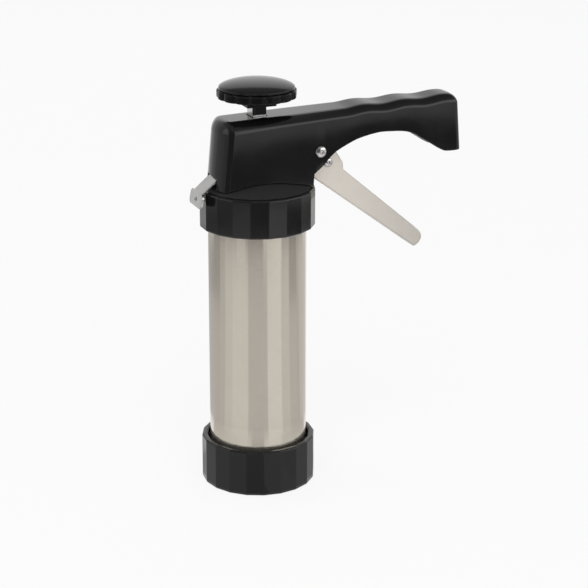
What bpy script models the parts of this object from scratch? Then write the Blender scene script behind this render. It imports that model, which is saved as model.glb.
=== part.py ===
"""A hand-squeezed cookie press, modelled piece by piece at its real size, in metres with +Z up.

The press stands on its bottom ring. Every piece is built about the barrel's axis, with the handle
along +X and the release tab along -X. At the end the whole press is moved sideways, so that the
world's origin lies on the floor under the middle of its bounding box.
"""

import math

import bmesh
import bpy
from mathutils import Matrix, Vector

# Clearances, and how far a cutter runs past what it cuts
GAP = 0.0003
SLIDING_GAP = 0.0004
OVERRUN = 0.004
EMBED = 0.0007
MERGE_DISTANCE = 0.000001

# Smoothness of round forms
SMOOTH_ANGLE = math.radians(32)
FINE_SIDES = 48
MEDIUM_SIDES = 32
SMALL_SIDES = 20
ROUND_STEPS = 4
SPRING_POINTS_PER_TURN = 10

# Overall height, and the faceted plastic rings at the two ends of the barrel
TOTAL_HEIGHT = 0.2200
RING_WIDTH = 0.0602
FACETS = 20
RING_HEIGHT = 0.0250
RING_EDGE = 0.0010
RING_BORE = 0.0540
RING_MOUTH = 0.0550
RING_FLOOR = 0.0030
RING_TURN = math.radians(2.8)
OUTLET_DIAMETER = 0.0464
OUTLET_CHAMFER = 0.0010
COLLAR_HEIGHT = 0.0205
COLLAR_EYE_RADIUS = 0.0134
COLLAR_DOME_RISE = 0.0041
COLLAR_LIP = 0.0019
COLLAR_TURN = math.radians(9)

# Barrel, a steel tube with a rolled thread at each end
BARREL_DIAMETER = 0.0518
BARREL_WALL = 0.0008
THREAD_HEIGHT = 0.0005
THREAD_WIDTH = 0.0014
THREAD_PITCH = 0.0034
THREAD_COUNT = 3
THREAD_LEAD = 0.0040

# Cookie disc with its cut-out flower
DISC_THICKNESS = 0.0012
DISC_PETALS = 6
DISC_PETAL_CIRCLE = 0.0112
DISC_PETAL_LENGTH = 0.0105
DISC_PETAL_WIDTH = 0.0046
DISC_EYE_DIAMETER = 0.0060

# Base plate under the head, with its screws
BASE_PLATE_THICKNESS = 0.0030
BASE_SCREWS = 3
BASE_SCREW_CIRCLE = 0.0107
BASE_SCREW_RADIUS = 0.0013
BASE_SCREW_LENGTH = 0.0075
BASE_SCREW_HEAD_RADIUS = 0.0022
BASE_SCREW_HEAD_HEIGHT = 0.0013
DRIVER_SLOT_WIDTH = 0.0006
DRIVER_SLOT_DEPTH = 0.0006

# Head and handle, one plastic moulding; its widths and reaches are those under the rounded crown
SPIGOT_RADIUS = 0.0130
SPIGOT_BORE_RADIUS = 0.0083
HEAD_HEIGHT = 0.03775
HEAD_WALL = 0.0026
REAR_RADIUS_TOP = 0.0237
REAR_DRAFT = 0.0026
HEAD_HALF_WIDTH = 0.0138
HANDLE_HALF_WIDTH = 0.0100
SIDE_DRAFT = 0.0004
HANDLE_REACH_TOP = 0.1114
END_DRAFT = 0.0027
REAR_FILLET = 0.0040
END_FILLET = 0.0030
END_BOW = 0.0005
CROWN_HALF_WIDTH = 0.0068
CROWN_END_HALF_WIDTH = 0.0045
CROWN_REAR_INSET = 0.0052
CROWN_END_INSET = 0.0048
CROWN_FILLET = 0.0020
CROWN_DROP = 0.0024
CROWN_REAR_DROP = 0.0068
DROP_POWER = 5
CROWN_STEPS = 4
TAPER_POWER = 1.25
HEAD_SLOPE = 0.0310
WAVE_START = 0.0455
WAVE_LENGTH = 0.0230
WAVE_HEIGHT = 0.0009

# Arch under the handle: heights are above the collar, and the shares follow its span and its rise
ARCH_FOOT = 0.0268
HOOK_LENGTH = 0.0074
ARCH_HOOK_HEIGHT = 0.0114
ARCH_RISE = 0.0141
ARCH_SHARES = (
    (0.0, -0.75),
    (0.02, -0.43),
    (0.08, 0.05),
    (0.15, 0.39),
    (0.225, 0.61),
    (0.33, 0.84),
    (0.48, 0.99),
    (0.58, 0.98),
    (0.675, 0.93),
    (0.74, 0.82),
    (0.80, 0.62),
    (0.87, 0.39),
    (0.945, 0.13),
    (1.0, 0.0),
    (1.14, -0.01),
)
HEAD_STATIONS = 9
FOOT_STATIONS = 3
FOOT_LENGTH = 0.0022
HANDLE_STATIONS = 30
ARC_STATIONS = 8
FILLET_STATIONS = 4

# Inside the head
FLOOR_THICKNESS = 0.0018
FLOOR_REACH = 0.0258
RIB_INNER = 0.0080
SLOT_HALF_WIDTH = 0.0068
SLOT_HEIGHT = 0.0083

# Square push rod and the piston on its end
ROD_SIDE = 0.0080
ROD_CORNER = 0.0005
ROD_SOCKET_DEPTH = 0.0046
STUD_RADIUS = 0.0025
STUD_LENGTH = 0.0080
PISTON_RADIUS = 0.0247
PISTON_THICKNESS = 0.0088
PISTON_EDGE = 0.0006
PISTON_RIM = 0.0022
PISTON_RELIEF = 0.0020
PISTON_HUB_RADIUS = 0.0090
NUT_WIDTH = 0.0080
NUT_HEIGHT = 0.0035
NUT_POCKET_RADIUS = 0.0052
NUT_POCKET_DEPTH = 0.0042

# Knob: a lobed skirt on a square boss, its screw, and the domed cap that hides the screw
KNOB_LIFT = 0.0057
KNOB_BOSS_SIDE = 0.0160
KNOB_BOSS_HEIGHT = 0.0038
KNOB_RADIUS = 0.0208
KNOB_LOBES = 15
KNOB_LOBE_DEPTH = 0.0011
LOBE_POWER = 0.55
LOBE_POINTS = 8
KNOB_SKIRT_HEIGHT = 0.0050
KNOB_EDGE = 0.0008
KNOB_WEB = 0.0018
KNOB_WELL_RADIUS = 0.0062
CAP_RADIUS = 0.0197
CAP_HEIGHT = 0.00425
CAP_SIDE = 0.0006
CAP_EDGE = 0.0007
KNOB_SCREW_RADIUS = 0.0020
KNOB_SCREW_LENGTH = 0.0100
KNOB_SCREW_HEAD_RADIUS = 0.0040
KNOB_SCREW_HEAD_HEIGHT = 0.0018

# Drive plate, springs and their seat
SEAT_RISE = 0.0098
SEAT_THICKNESS = 0.0015
SEAT_HALF_LENGTH = 0.0120
SEAT_HALF_WIDTH = 0.0106
DRIVE_THICKNESS = 0.0025
DRIVE_REAR = 0.0095
DRIVE_LIP = 0.0019
DRIVE_HALF_WIDTH = 0.0080
PLATE_CORNER = 0.0015
DRIVE_SPRING_RADIUS = 0.0070
DRIVE_SPRING_WIRE = 0.0012
DRIVE_SPRING_TURNS = 4
CATCH_SPRING_RADIUS = 0.0067
CATCH_SPRING_WIRE = 0.0009
CATCH_SPRING_TURNS = 3

# Release plate: it leans up at rest, about its front edge, and bends down through the head's slot
CATCH_RISE = 0.0067
CATCH_TILT = math.radians(1.1)
CATCH_FULCRUM = 0.0090
CATCH_FRONT = 0.0018
CATCH_THICKNESS = 0.0012
CATCH_HALF_WIDTH = 0.0060
CATCH_BEND = 0.0230
CATCH_SLOPE = math.radians(39.1)
CATCH_NECK = 0.0122
TAB_HEIGHT = 0.0073
TAB_LEAN = math.radians(10)
TAB_HALF_WIDTH = 0.0089
TAB_CORNER = 0.0026
TAB_RISE = 0.0005
TAB_DIMPLE_RADIUS = 0.0010

# Lever, a bent steel channel on its pivot; heel, rivet and arm are placed from the pivot
PIVOT_REACH = 0.0302
PIVOT_RISE = 0.0186
LEVER_ANGLE = math.radians(36.87)
LEVER_HEEL = (-0.0015, -0.0152)
LEVER_LENGTH = 0.0745
LEVER_ROOT_HEIGHT = 0.0124
LEVER_TIP_HEIGHT = 0.0087
LEVER_THICKNESS = 0.0012
LEVER_HALF_WIDTH = 0.0085
LEVER_BEND = 0.0014
LEVER_TIP_CORNER = 0.0026
EAR_RADIUS = 0.0065
EAR_START = math.radians(60)
EAR_END = math.radians(205)
EAR_STEPS = 8
SHOULDER_SHARES = ((0.150, 1.00), (0.130, 1.14), (0.105, 1.26), (0.025, 1.44))
TIP_SHARES = ((0.984, 0.0), (0.997, 0.16), (1.004, 0.42), (0.998, 0.70), (0.976, 0.92), (0.945, 1.0))
HEEL_SHARES = ((-0.16, 0.70), (-0.013, 0.07))
PIVOT_PIN_RADIUS = 0.0020
PIVOT_HEAD_RADIUS = 0.0031
PIVOT_HEAD_HEIGHT = 0.0014
PIN_STAND_OFF = 0.0005
CLIP_RADIUS = 0.0038
CLIP_THICKNESS = 0.0006
PIN_TAIL = 0.0010
RIVET_PLACE = (0.0062, -0.0074)
RIVET_RADIUS = 0.0014
RIVET_HEAD_RADIUS = 0.0025
RIVET_HEAD_HEIGHT = 0.0010
ARM_ELBOW = (-0.0057, 0.0132)
ARM_NOSE = (-0.0103, 0.0107)
ARM_RADIUS = 0.0026
ARM_HALF_WIDTH = 0.0069
ARM_WALL = 0.0016

# Heights and radii that follow from the sizes above
RING_RADIUS = RING_WIDTH / 2 / math.cos(math.pi / FACETS)
BORE_RADIUS = RING_BORE / 2
BARREL_RADIUS = BARREL_DIAMETER / 2
KNOB_HEIGHT = KNOB_BOSS_HEIGHT + KNOB_SKIRT_HEIGHT + GAP + CAP_HEIGHT
COLLAR_TOP = TOTAL_HEIGHT - KNOB_HEIGHT - KNOB_LIFT - HEAD_HEIGHT
COLLAR_BOTTOM = COLLAR_TOP - COLLAR_HEIGHT
LIP_BOTTOM = COLLAR_TOP - COLLAR_LIP
DOME_TOP = COLLAR_TOP + COLLAR_DOME_RISE
BASE_PLATE_TOP = LIP_BOTTOM - GAP
BASE_PLATE_BOTTOM = BASE_PLATE_TOP - BASE_PLATE_THICKNESS
DISC_BOTTOM = RING_FLOOR + GAP
BARREL_BOTTOM = DISC_BOTTOM + DISC_THICKNESS + GAP
BARREL_TOP = BASE_PLATE_BOTTOM - GAP
HEAD_TOP = COLLAR_TOP + HEAD_HEIGHT
FLOOR_TOP = DOME_TOP + GAP + FLOOR_THICKNESS
REAR_RADIUS_BOTTOM = REAR_RADIUS_TOP + REAR_DRAFT
HANDLE_REACH_BOTTOM = HANDLE_REACH_TOP + END_DRAFT
CROWN_REAR = REAR_RADIUS_TOP - CROWN_REAR_INSET
NOTCH_FRONT = GAP - (REAR_RADIUS_TOP - HEAD_WALL)
CROWN_REACH = HANDLE_REACH_TOP - CROWN_END_INSET
ARCH_HOOK = HANDLE_REACH_TOP - HOOK_LENGTH
SEAT_BOTTOM = COLLAR_TOP + SEAT_RISE
SEAT_TOP = SEAT_BOTTOM + SEAT_THICKNESS
CATCH_Z = COLLAR_TOP + CATCH_RISE
PIVOT_Z = COLLAR_TOP + PIVOT_RISE
DRIVE_TOP = PIVOT_Z + ARM_NOSE[1] - ARM_RADIUS - GAP
DRIVE_BOTTOM = DRIVE_TOP - DRIVE_THICKNESS
DRIVE_FRONT = PIVOT_REACH + ARM_NOSE[0] + DRIVE_LIP
PISTON_BOTTOM = BARREL_BOTTOM + GAP
PISTON_TOP = PISTON_BOTTOM + PISTON_THICKNESS
ROD_BOTTOM = PISTON_TOP + GAP
KNOB_BOTTOM = HEAD_TOP + KNOB_LIFT
ROD_TOP = KNOB_BOTTOM + ROD_SOCKET_DEPTH - GAP
SKIRT_BOTTOM = KNOB_BOTTOM + KNOB_BOSS_HEIGHT
SKIRT_TOP = SKIRT_BOTTOM + KNOB_SKIRT_HEIGHT
WELL_FLOOR = KNOB_BOTTOM + ROD_SOCKET_DEPTH + KNOB_WEB

# Finishes: colour, roughness and metallic
BLACK_PLASTIC = ((0.012, 0.012, 0.013), 0.22, 0.0)
BRUSHED_STEEL = ((0.56, 0.54, 0.51), 0.34, 1.0)
BRIGHT_STEEL = ((0.66, 0.65, 0.63), 0.18, 1.0)
SPRING_STEEL = ((0.42, 0.42, 0.43), 0.30, 1.0)
ALUMINIUM = ((0.72, 0.72, 0.73), 0.38, 1.0)


# Scene, materials and objects


def clear_scene():
    for obj in list(bpy.data.objects):
        bpy.data.objects.remove(obj)


def finish_material(name, finish):
    colour, roughness, metallic = finish
    material = bpy.data.materials.new(name + "_finish")
    material.use_nodes = True
    shader = material.node_tree.nodes["Principled BSDF"]
    shader.inputs["Base Color"].default_value = (*colour, 1)
    shader.inputs["Roughness"].default_value = roughness
    shader.inputs["Metallic"].default_value = metallic
    material.diffuse_color = (*colour, 1)
    return material


def object_from(bm, name):
    """A new object that holds this bmesh, with its faces turned outward."""
    bmesh.ops.remove_doubles(bm, verts=bm.verts, dist=MERGE_DISTANCE)
    bmesh.ops.recalc_face_normals(bm, faces=bm.faces)
    mesh = bpy.data.meshes.new(name)
    bm.to_mesh(mesh)
    bm.free()
    obj = bpy.data.objects.new(name, mesh)
    bpy.context.collection.objects.link(obj)
    return obj


def combine(target, tool, operation):
    """Cuts the tool from the target, or joins or intersects them, and removes the tool."""
    modifier = target.modifiers.new(operation.lower(), "BOOLEAN")
    modifier.operation = operation
    modifier.solver = "EXACT"
    modifier.object = tool
    graph = bpy.context.evaluated_depsgraph_get()
    shaped = bpy.data.meshes.new_from_object(target.evaluated_get(graph), depsgraph=graph)
    target.modifiers.clear()
    target.data = shaped
    bpy.data.objects.remove(tool)
    return target


def cut(target, *tools):
    for tool in tools:
        combine(target, tool, "DIFFERENCE")
    return target


def join(target, *tools):
    for tool in tools:
        combine(target, tool, "UNION")
    return target


def dress(obj, name, finish):
    """Names a finished piece, shades its round faces smooth and gives it its own material."""
    obj.name = name
    obj.data.name = name
    obj.data.materials.clear()
    obj.data.materials.append(finish_material(name, finish))
    obj.data.shade_smooth()
    obj.data.set_sharp_from_angle(angle=SMOOTH_ANGLE)
    return obj


# Outlines


def circle_outline(radius, sides, centre=(0, 0), turn=0):
    angles = [turn + math.tau * i / sides for i in range(sides)]
    return [(centre[0] + radius * math.cos(a), centre[1] + radius * math.sin(a)) for a in angles]


def rectangle_outline(low, high):
    return [(low[0], low[1]), (high[0], low[1]), (high[0], high[1]), (low[0], high[1])]


def rounded_rectangle(low, high, radius, steps=ROUND_STEPS):
    corners = [
        ((high[0] - radius, low[1] + radius), -math.pi / 2),
        ((high[0] - radius, high[1] - radius), 0),
        ((low[0] + radius, high[1] - radius), math.pi / 2),
        ((low[0] + radius, low[1] + radius), math.pi),
    ]
    outline = []
    for centre, start in corners:
        for i in range(steps + 1):
            angle = start + math.pi / 2 * i / steps
            x = centre[0] + radius * math.cos(angle)
            outline.append((x, centre[1] + radius * math.sin(angle)))
    return outline


def square_outline(side, corner=0):
    half = side / 2
    if corner == 0:
        return rectangle_outline((-half, -half), (half, half))
    return rounded_rectangle((-half, -half), (half, half), corner, 1)


def curve_through(points, x):
    """The height at x of a smooth curve through the points, whose x values rise."""
    last = len(points) - 2
    i = max(0, min(last, sum(1 for p in points[1:-1] if p[0] <= x)))
    before, start, end, after = (points[max(0, min(last + 1, i + k))] for k in (-1, 0, 1, 2))
    span = end[0] - start[0]
    t = (x - start[0]) / span
    slope_in = (end[1] - before[1]) / (end[0] - before[0]) * span
    slope_out = (after[1] - start[1]) / (after[0] - start[0]) * span
    rise = 3 * (end[1] - start[1]) - 2 * slope_in - slope_out
    bend = 2 * (start[1] - end[1]) + slope_in + slope_out
    return start[1] + slope_in * t + rise * t**2 + bend * t**3


# Solids


def prism(outline, bottom, top, name="prism"):
    """An outline in the XY plane, carried from one height to another."""
    bm = bmesh.new()
    face = bm.faces.new([bm.verts.new((x, y, bottom)) for x, y in outline])
    carried = bmesh.ops.extrude_face_region(bm, geom=[face])["geom"]
    raised = [v for v in carried if isinstance(v, bmesh.types.BMVert)]
    bmesh.ops.translate(bm, verts=raised, vec=(0, 0, top - bottom))
    return object_from(bm, name)


def cross_prism(outline, half_width, name="cross_prism", low=None):
    """An outline in the XZ plane, carried along Y from -half_width, or low, to half_width."""
    start = -half_width if low is None else low
    bm = bmesh.new()
    face = bm.faces.new([bm.verts.new((x, start, z)) for x, z in outline])
    carried = bmesh.ops.extrude_face_region(bm, geom=[face])["geom"]
    moved = [v for v in carried if isinstance(v, bmesh.types.BMVert)]
    bmesh.ops.translate(bm, verts=moved, vec=(0, half_width - start, 0))
    return object_from(bm, name)


def block(low, high, name="block"):
    return prism(rectangle_outline(low[:2], high[:2]), low[2], high[2], name)


def turned(profile, sides, name="turned", turn=0):
    """A closed profile of (radius, height) points, spun about Z."""
    bm = bmesh.new()
    ring = [bm.verts.new((r, 0, z)) for r, z in profile]
    edges = [bm.edges.new(pair) for pair in zip(ring, ring[1:] + ring[:1], strict=True)]
    bmesh.ops.rotate(bm, verts=ring, cent=(0, 0, 0), matrix=Matrix.Rotation(turn, 3, "Z"))
    bmesh.ops.spin(
        bm,
        geom=ring + edges,
        axis=(0, 0, 1),
        cent=(0, 0, 0),
        angle=math.tau,
        steps=sides,
        use_merge=True,
    )
    return object_from(bm, name)


def cylinder(radius, bottom, top, sides=MEDIUM_SIDES, centre=(0, 0)):
    return prism(circle_outline(radius, sides, centre), bottom, top)


def cross_cylinder(radius, half_width, centre, sides=SMALL_SIDES):
    return cross_prism(circle_outline(radius, sides, centre), half_width)


def dome_profile(radius, height, base, steps=ROUND_STEPS):
    """Profile points of a shallow round head, from its rim up to the axis."""
    return [
        (radius * math.cos(a), base + height * math.sin(a))
        for a in (math.pi / 2 * i / steps for i in range(steps + 1))
    ]


def coil(name, radius, wire, turns, bottom, top):
    """One unbroken spring with its ends straight for one wire diameter."""
    rise = (top - bottom - 2 * wire) / (turns * SPRING_POINTS_PER_TURN)
    points = [Vector((radius, 0, bottom))]
    for i in range(turns * SPRING_POINTS_PER_TURN + 1):
        angle = math.tau * i / SPRING_POINTS_PER_TURN
        height = bottom + wire + rise * i
        points.append(Vector((radius * math.cos(angle), radius * math.sin(angle), height)))
    points.append(Vector((radius, 0, top)))
    curve = bpy.data.curves.new(name, "CURVE")
    curve.dimensions = "3D"
    curve.bevel_depth = wire / 2
    curve.bevel_resolution = 1
    curve.use_fill_caps = True
    spline = curve.splines.new("POLY")
    spline.points.add(len(points) - 1)
    for point, place in zip(spline.points, points, strict=True):
        point.co = (*place, 1)
    obj = bpy.data.objects.new(name, curve)
    bpy.context.collection.objects.link(obj)
    return obj


# Surfaces that several pieces share


def dome_height(radius):
    """Height of the collar's shallow cone at this radius."""
    return COLLAR_TOP + COLLAR_DOME_RISE * (RING_RADIUS - radius) / (RING_RADIUS - COLLAR_EYE_RADIUS)


def crown_height(x):
    """Height of the head's and handle's top, with its three palm waves."""
    height = HEAD_TOP + HEAD_SLOPE * x
    if x > WAVE_START:
        height += WAVE_HEIGHT * (1 - math.cos(math.tau * (x - WAVE_START) / WAVE_LENGTH)) / 2
    return height


def crown_drop(x):
    """How far the rounded edge of the top falls, most of all at the head's rear."""
    share = (x + REAR_RADIUS_TOP) / (HANDLE_REACH_TOP + REAR_RADIUS_TOP)
    return CROWN_DROP + (CROWN_REAR_DROP - CROWN_DROP) * max(0, 1 - share) ** DROP_POWER


def arch_height(x):
    share = (x - ARCH_FOOT) / (ARCH_HOOK - ARCH_FOOT)
    return COLLAR_TOP + ARCH_HOOK_HEIGHT + ARCH_RISE * curve_through(ARCH_SHARES, share)


def rim_height(x, y):
    """Height of the moulding's lower rim: on the collar's cone, then along the arch."""
    if x < ARCH_FOOT:
        return dome_height(math.hypot(x, y)) + GAP
    return arch_height(x)


def taper(x, start, end):
    """Half-width at x of a side that runs straight at the head and narrows along the handle."""
    share = max(0, x) / HANDLE_REACH_TOP
    return start - (start - end) * share**TAPER_POWER


# Head and handle


def side_stations(rear, front):
    """The x values along one side, closer together at the foot of the arch."""
    reach = HANDLE_REACH_TOP - END_FILLET
    start = -math.sqrt((REAR_RADIUS_TOP - REAR_FILLET) ** 2 - (HEAD_HALF_WIDTH - REAR_FILLET) ** 2)
    foot_end = ARCH_FOOT + FOOT_LENGTH
    places = [start + (ARCH_FOOT - start) * i / HEAD_STATIONS for i in range(1, HEAD_STATIONS)]
    places += [ARCH_FOOT + FOOT_LENGTH * i / FOOT_STATIONS for i in range(FOOT_STATIONS)]
    places += [
        foot_end + (reach - foot_end) * i / HANDLE_STATIONS for i in range(HANDLE_STATIONS + 1)
    ]
    return [rear + (front - rear) * (x - start) / (reach - start) for x in places]


def rear_plan(rear_radius, half_width, fillet):
    """Half of the rounded rear seen from above, and the x where its straight side starts."""
    centre_y = half_width - fillet
    centre_x = math.sqrt((rear_radius - fillet) ** 2 - centre_y**2)
    turn = math.atan2(centre_y, centre_x)
    points = []
    for i in range(ARC_STATIONS + 1):
        angle = turn * i / ARC_STATIONS
        points.append((-rear_radius * math.cos(angle), -rear_radius * math.sin(angle)))
    for i in range(1, FILLET_STATIONS + 1):
        angle = turn + (math.pi / 2 - turn) * i / FILLET_STATIONS
        points.append((-centre_x - fillet * math.cos(angle), -centre_y - fillet * math.sin(angle)))
    return points, -centre_x


def half_plan(rear_radius, half_width, end_half_width, fillet, reach, end_fillet):
    """Half of the moulding seen from above, from the middle of its rear to the middle of its end."""
    points, side_start = rear_plan(rear_radius, half_width, fillet)
    for x in side_stations(side_start, reach - end_fillet):
        points.append((x, -taper(x, half_width, end_half_width)))
    end_half = -points[-1][1]
    for i in range(1, FILLET_STATIONS + 1):
        angle = math.pi / 2 * i / FILLET_STATIONS
        x = reach - end_fillet + end_fillet * math.sin(angle)
        points.append((x, -end_half + end_fillet * (1 - math.cos(angle))))
    points.append((reach + END_BOW, 0))
    return points


def moulding_plans(inset):
    """Half plans of a wall surface at its top, at the collar's height, and of the flat crown."""
    upper = half_plan(
        REAR_RADIUS_TOP - inset,
        HEAD_HALF_WIDTH - inset,
        HANDLE_HALF_WIDTH - inset,
        REAR_FILLET - inset / 2,
        HANDLE_REACH_TOP - inset,
        END_FILLET - inset / 2,
    )
    lower = half_plan(
        REAR_RADIUS_BOTTOM - inset,
        HEAD_HALF_WIDTH + SIDE_DRAFT - inset,
        HANDLE_HALF_WIDTH + SIDE_DRAFT - inset,
        REAR_FILLET - inset / 2,
        HANDLE_REACH_BOTTOM - inset,
        END_FILLET - inset / 2,
    )
    crown = half_plan(
        CROWN_REAR - inset / 2,
        CROWN_HALF_WIDTH - inset / 2,
        CROWN_END_HALF_WIDTH - inset / 2,
        CROWN_FILLET,
        CROWN_REACH - inset / 2,
        CROWN_FILLET,
    )
    return upper, lower, crown


def moulding_rows(inset):
    """Rows of points of one surface of the moulding, from its lower rim to its flat crown."""
    upper, lower, crown = moulding_plans(inset)
    drops = [crown_drop(x) for x, _ in upper]
    rim = []
    for (ux, uy), (lx, ly), drop in zip(upper, lower, drops, strict=True):
        shoulder = crown_height(ux) - inset - drop
        x, y = ux, uy
        for _ in range(3):
            share = (shoulder - rim_height(x, y)) / (shoulder - COLLAR_TOP)
            x, y = ux + (lx - ux) * share, uy + (ly - uy) * share
        rim.append((x, y, rim_height(x, y)))
    rows = [rim]
    for step in range(CROWN_STEPS + 1):
        angle = math.pi / 2 * step / CROWN_STEPS
        row = []
        for (ux, uy), (cx, cy), drop in zip(upper, crown, drops, strict=True):
            x = cx + (ux - cx) * math.cos(angle)
            y = cy + (uy - cy) * math.cos(angle)
            row.append((x, y, crown_height(x) - inset - drop * (1 - math.sin(angle))))
        rows.append(row)
    return rows


def mirrored_loop(bm, half):
    """Vertices of a half row and of its mirror image, as one closed loop."""
    near = [bm.verts.new(point) for point in half]
    far = [bm.verts.new((x, -y, z)) for x, y, z in half[1:-1]]
    return near + far[::-1]


def bridge(bm, first, second):
    count = len(first)
    for i in range(count):
        j = (i + 1) % count
        bm.faces.new((first[i], first[j], second[j], second[i]))


def ladder(bm, loop):
    """Closes a mirrored loop with rungs from its near side to its far side."""
    half = len(loop) // 2
    for i in range(half):
        near_start, near_end = loop[i], loop[i + 1]
        far_start, far_end = loop[-i % len(loop)], loop[-i - 1]
        corners = [near_start, near_end, far_end, far_start]
        bm.faces.new(list(dict.fromkeys(corners)))


def moulding_shell():
    bm = bmesh.new()
    rims = []
    for inset in (0, HEAD_WALL):
        loops = [mirrored_loop(bm, row) for row in moulding_rows(inset)]
        for lower, upper in zip(loops, loops[1:], strict=False):
            bridge(bm, lower, upper)
        ladder(bm, loops[-1])
        rims.append(loops[0])
    bridge(bm, *rims)
    return object_from(bm, "shell")


def head_floor():
    """The floor of the head over the collar's cone, with the spigot that hangs from it."""
    half, _ = rear_plan(REAR_RADIUS_BOTTOM - EMBED * 2, HEAD_HALF_WIDTH - EMBED, REAR_FILLET)
    half.append((FLOOR_REACH, half[-1][1]))
    outline = half + [(x, -y) for x, y in reversed(half[1:])]
    floor = prism(outline, COLLAR_TOP, FLOOR_TOP)
    outer = RING_RADIUS + OVERRUN
    under_cone = turned(
        [
            (0, BASE_PLATE_BOTTOM),
            (outer, BASE_PLATE_BOTTOM),
            (outer, dome_height(outer) + 2 * GAP),
            (0, dome_height(0) + 2 * GAP),
        ],
        FINE_SIDES,
    )
    cut(floor, under_cone)
    spigot = cylinder(SPIGOT_RADIUS, BASE_PLATE_TOP + GAP, FLOOR_TOP - GAP, FINE_SIDES)
    return join(floor, spigot)


def seat_rib(side):
    low, high = sorted((side * RIB_INNER, side * (HEAD_HALF_WIDTH - HEAD_WALL + EMBED)))
    bottom, top = FLOOR_TOP - EMBED, SEAT_BOTTOM - GAP
    return block((-SEAT_HALF_LENGTH, low, bottom), (SEAT_HALF_LENGTH, high, top))


def release_notch():
    """The notch in the rear wall, open at the bottom, that the release plate comes out through."""
    rear = -(REAR_RADIUS_BOTTOM + OVERRUN)
    top = COLLAR_TOP + SLOT_HEIGHT
    return block((rear, -SLOT_HALF_WIDTH, COLLAR_TOP), (NOTCH_FRONT, SLOT_HALF_WIDTH, top))


def release_trough():
    """The same notch through the floor, and the trough that the release plate lies in."""
    rear = -(REAR_RADIUS_BOTTOM + OVERRUN)
    bottom = CATCH_Z - CATCH_THICKNESS / 2 - GAP
    top = FLOOR_TOP + OVERRUN
    front = CATCH_FULCRUM + CATCH_FRONT + GAP
    outline = [
        (rear, COLLAR_TOP),
        (NOTCH_FRONT, COLLAR_TOP),
        (NOTCH_FRONT, bottom),
        (front, bottom),
        (front, top),
        (rear, top),
    ]
    return cross_prism(outline, SLOT_HALF_WIDTH - GAP)


def base_screw_places():
    angles = [math.tau * i / BASE_SCREWS for i in range(BASE_SCREWS)]
    return [(BASE_SCREW_CIRCLE * math.cos(a), BASE_SCREW_CIRCLE * math.sin(a)) for a in angles]


def head_shell():
    """The head, its handle, floor and spigot, with the holes for the rod, pivot, tab and screws."""
    rod_way = square_outline(ROD_SIDE + 2 * SLIDING_GAP)
    pivot = (PIVOT_REACH, PIVOT_Z)
    head = cut(
        moulding_shell(),
        release_notch(),
        prism(rod_way, HEAD_TOP - CROWN_DROP - HEAD_WALL, HEAD_TOP + OVERRUN),
        cross_cylinder(PIVOT_PIN_RADIUS + GAP, HEAD_HALF_WIDTH + OVERRUN, pivot),
    )
    bore = cylinder(SPIGOT_BORE_RADIUS, BASE_PLATE_BOTTOM, FLOOR_TOP + OVERRUN)
    floor = cut(head_floor(), bore, release_trough())
    pilot_top = BASE_PLATE_BOTTOM + BASE_SCREW_LENGTH + GAP
    for place in base_screw_places():
        radius = BASE_SCREW_RADIUS + GAP
        cut(floor, cylinder(radius, BASE_PLATE_BOTTOM, pilot_top, SMALL_SIDES, place))
    join(head, floor, seat_rib(-1), seat_rib(1))
    return dress(head, "head_shell", BLACK_PLASTIC)


# Rings, barrel and disc


def faceted_body(bottom, top, rim_top, turn):
    """A twenty-sided plastic ring blank with rounded edges and a cone on top."""
    blank = prism(circle_outline(RING_RADIUS, FACETS, turn=turn), bottom, rim_top + OVERRUN)
    reach = RING_RADIUS + GAP
    profile = [(0, bottom)]
    for i in range(ROUND_STEPS + 1):
        angle = math.pi / 2 * i / ROUND_STEPS
        inward = RING_EDGE * (1 - math.sin(angle))
        profile.append((reach - inward, bottom + RING_EDGE * (1 - math.cos(angle))))
    for i in range(ROUND_STEPS + 1):
        angle = math.pi / 2 * i / ROUND_STEPS
        inward = RING_EDGE * (1 - math.cos(angle))
        profile.append((reach - inward, top - RING_EDGE * (1 - math.sin(angle))))
    profile.append((0, rim_top))
    return combine(blank, turned(profile, FINE_SIDES), "INTERSECT")


def bottom_ring():
    ring = faceted_body(0, RING_HEIGHT, RING_HEIGHT, RING_TURN)
    outlet = OUTLET_DIAMETER / 2
    mouth = RING_MOUTH / 2
    bore = turned(
        [
            (0, -OVERRUN),
            (outlet + OUTLET_CHAMFER, -OVERRUN),
            (outlet + OUTLET_CHAMFER, 0),
            (outlet, OUTLET_CHAMFER),
            (outlet, RING_FLOOR),
            (BORE_RADIUS, RING_FLOOR),
            (BORE_RADIUS, RING_HEIGHT - THREAD_LEAD),
            (mouth, RING_HEIGHT - THREAD_LEAD + mouth - BORE_RADIUS),
            (mouth, RING_HEIGHT + OVERRUN),
            (0, RING_HEIGHT + OVERRUN),
        ],
        FINE_SIDES,
    )
    return dress(cut(ring, bore), "bottom_ring", BLACK_PLASTIC)


def collar_nut():
    peak = dome_height(0)
    collar = faceted_body(COLLAR_BOTTOM, COLLAR_TOP, peak, COLLAR_TURN)
    bore = turned(
        [
            (0, COLLAR_BOTTOM - OVERRUN),
            (BORE_RADIUS, COLLAR_BOTTOM - OVERRUN),
            (BORE_RADIUS, LIP_BOTTOM),
            (COLLAR_EYE_RADIUS, LIP_BOTTOM),
            (COLLAR_EYE_RADIUS, peak + OVERRUN),
            (0, peak + OVERRUN),
        ],
        FINE_SIDES,
    )
    return dress(cut(collar, bore), "collar_nut", BLACK_PLASTIC)


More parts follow.
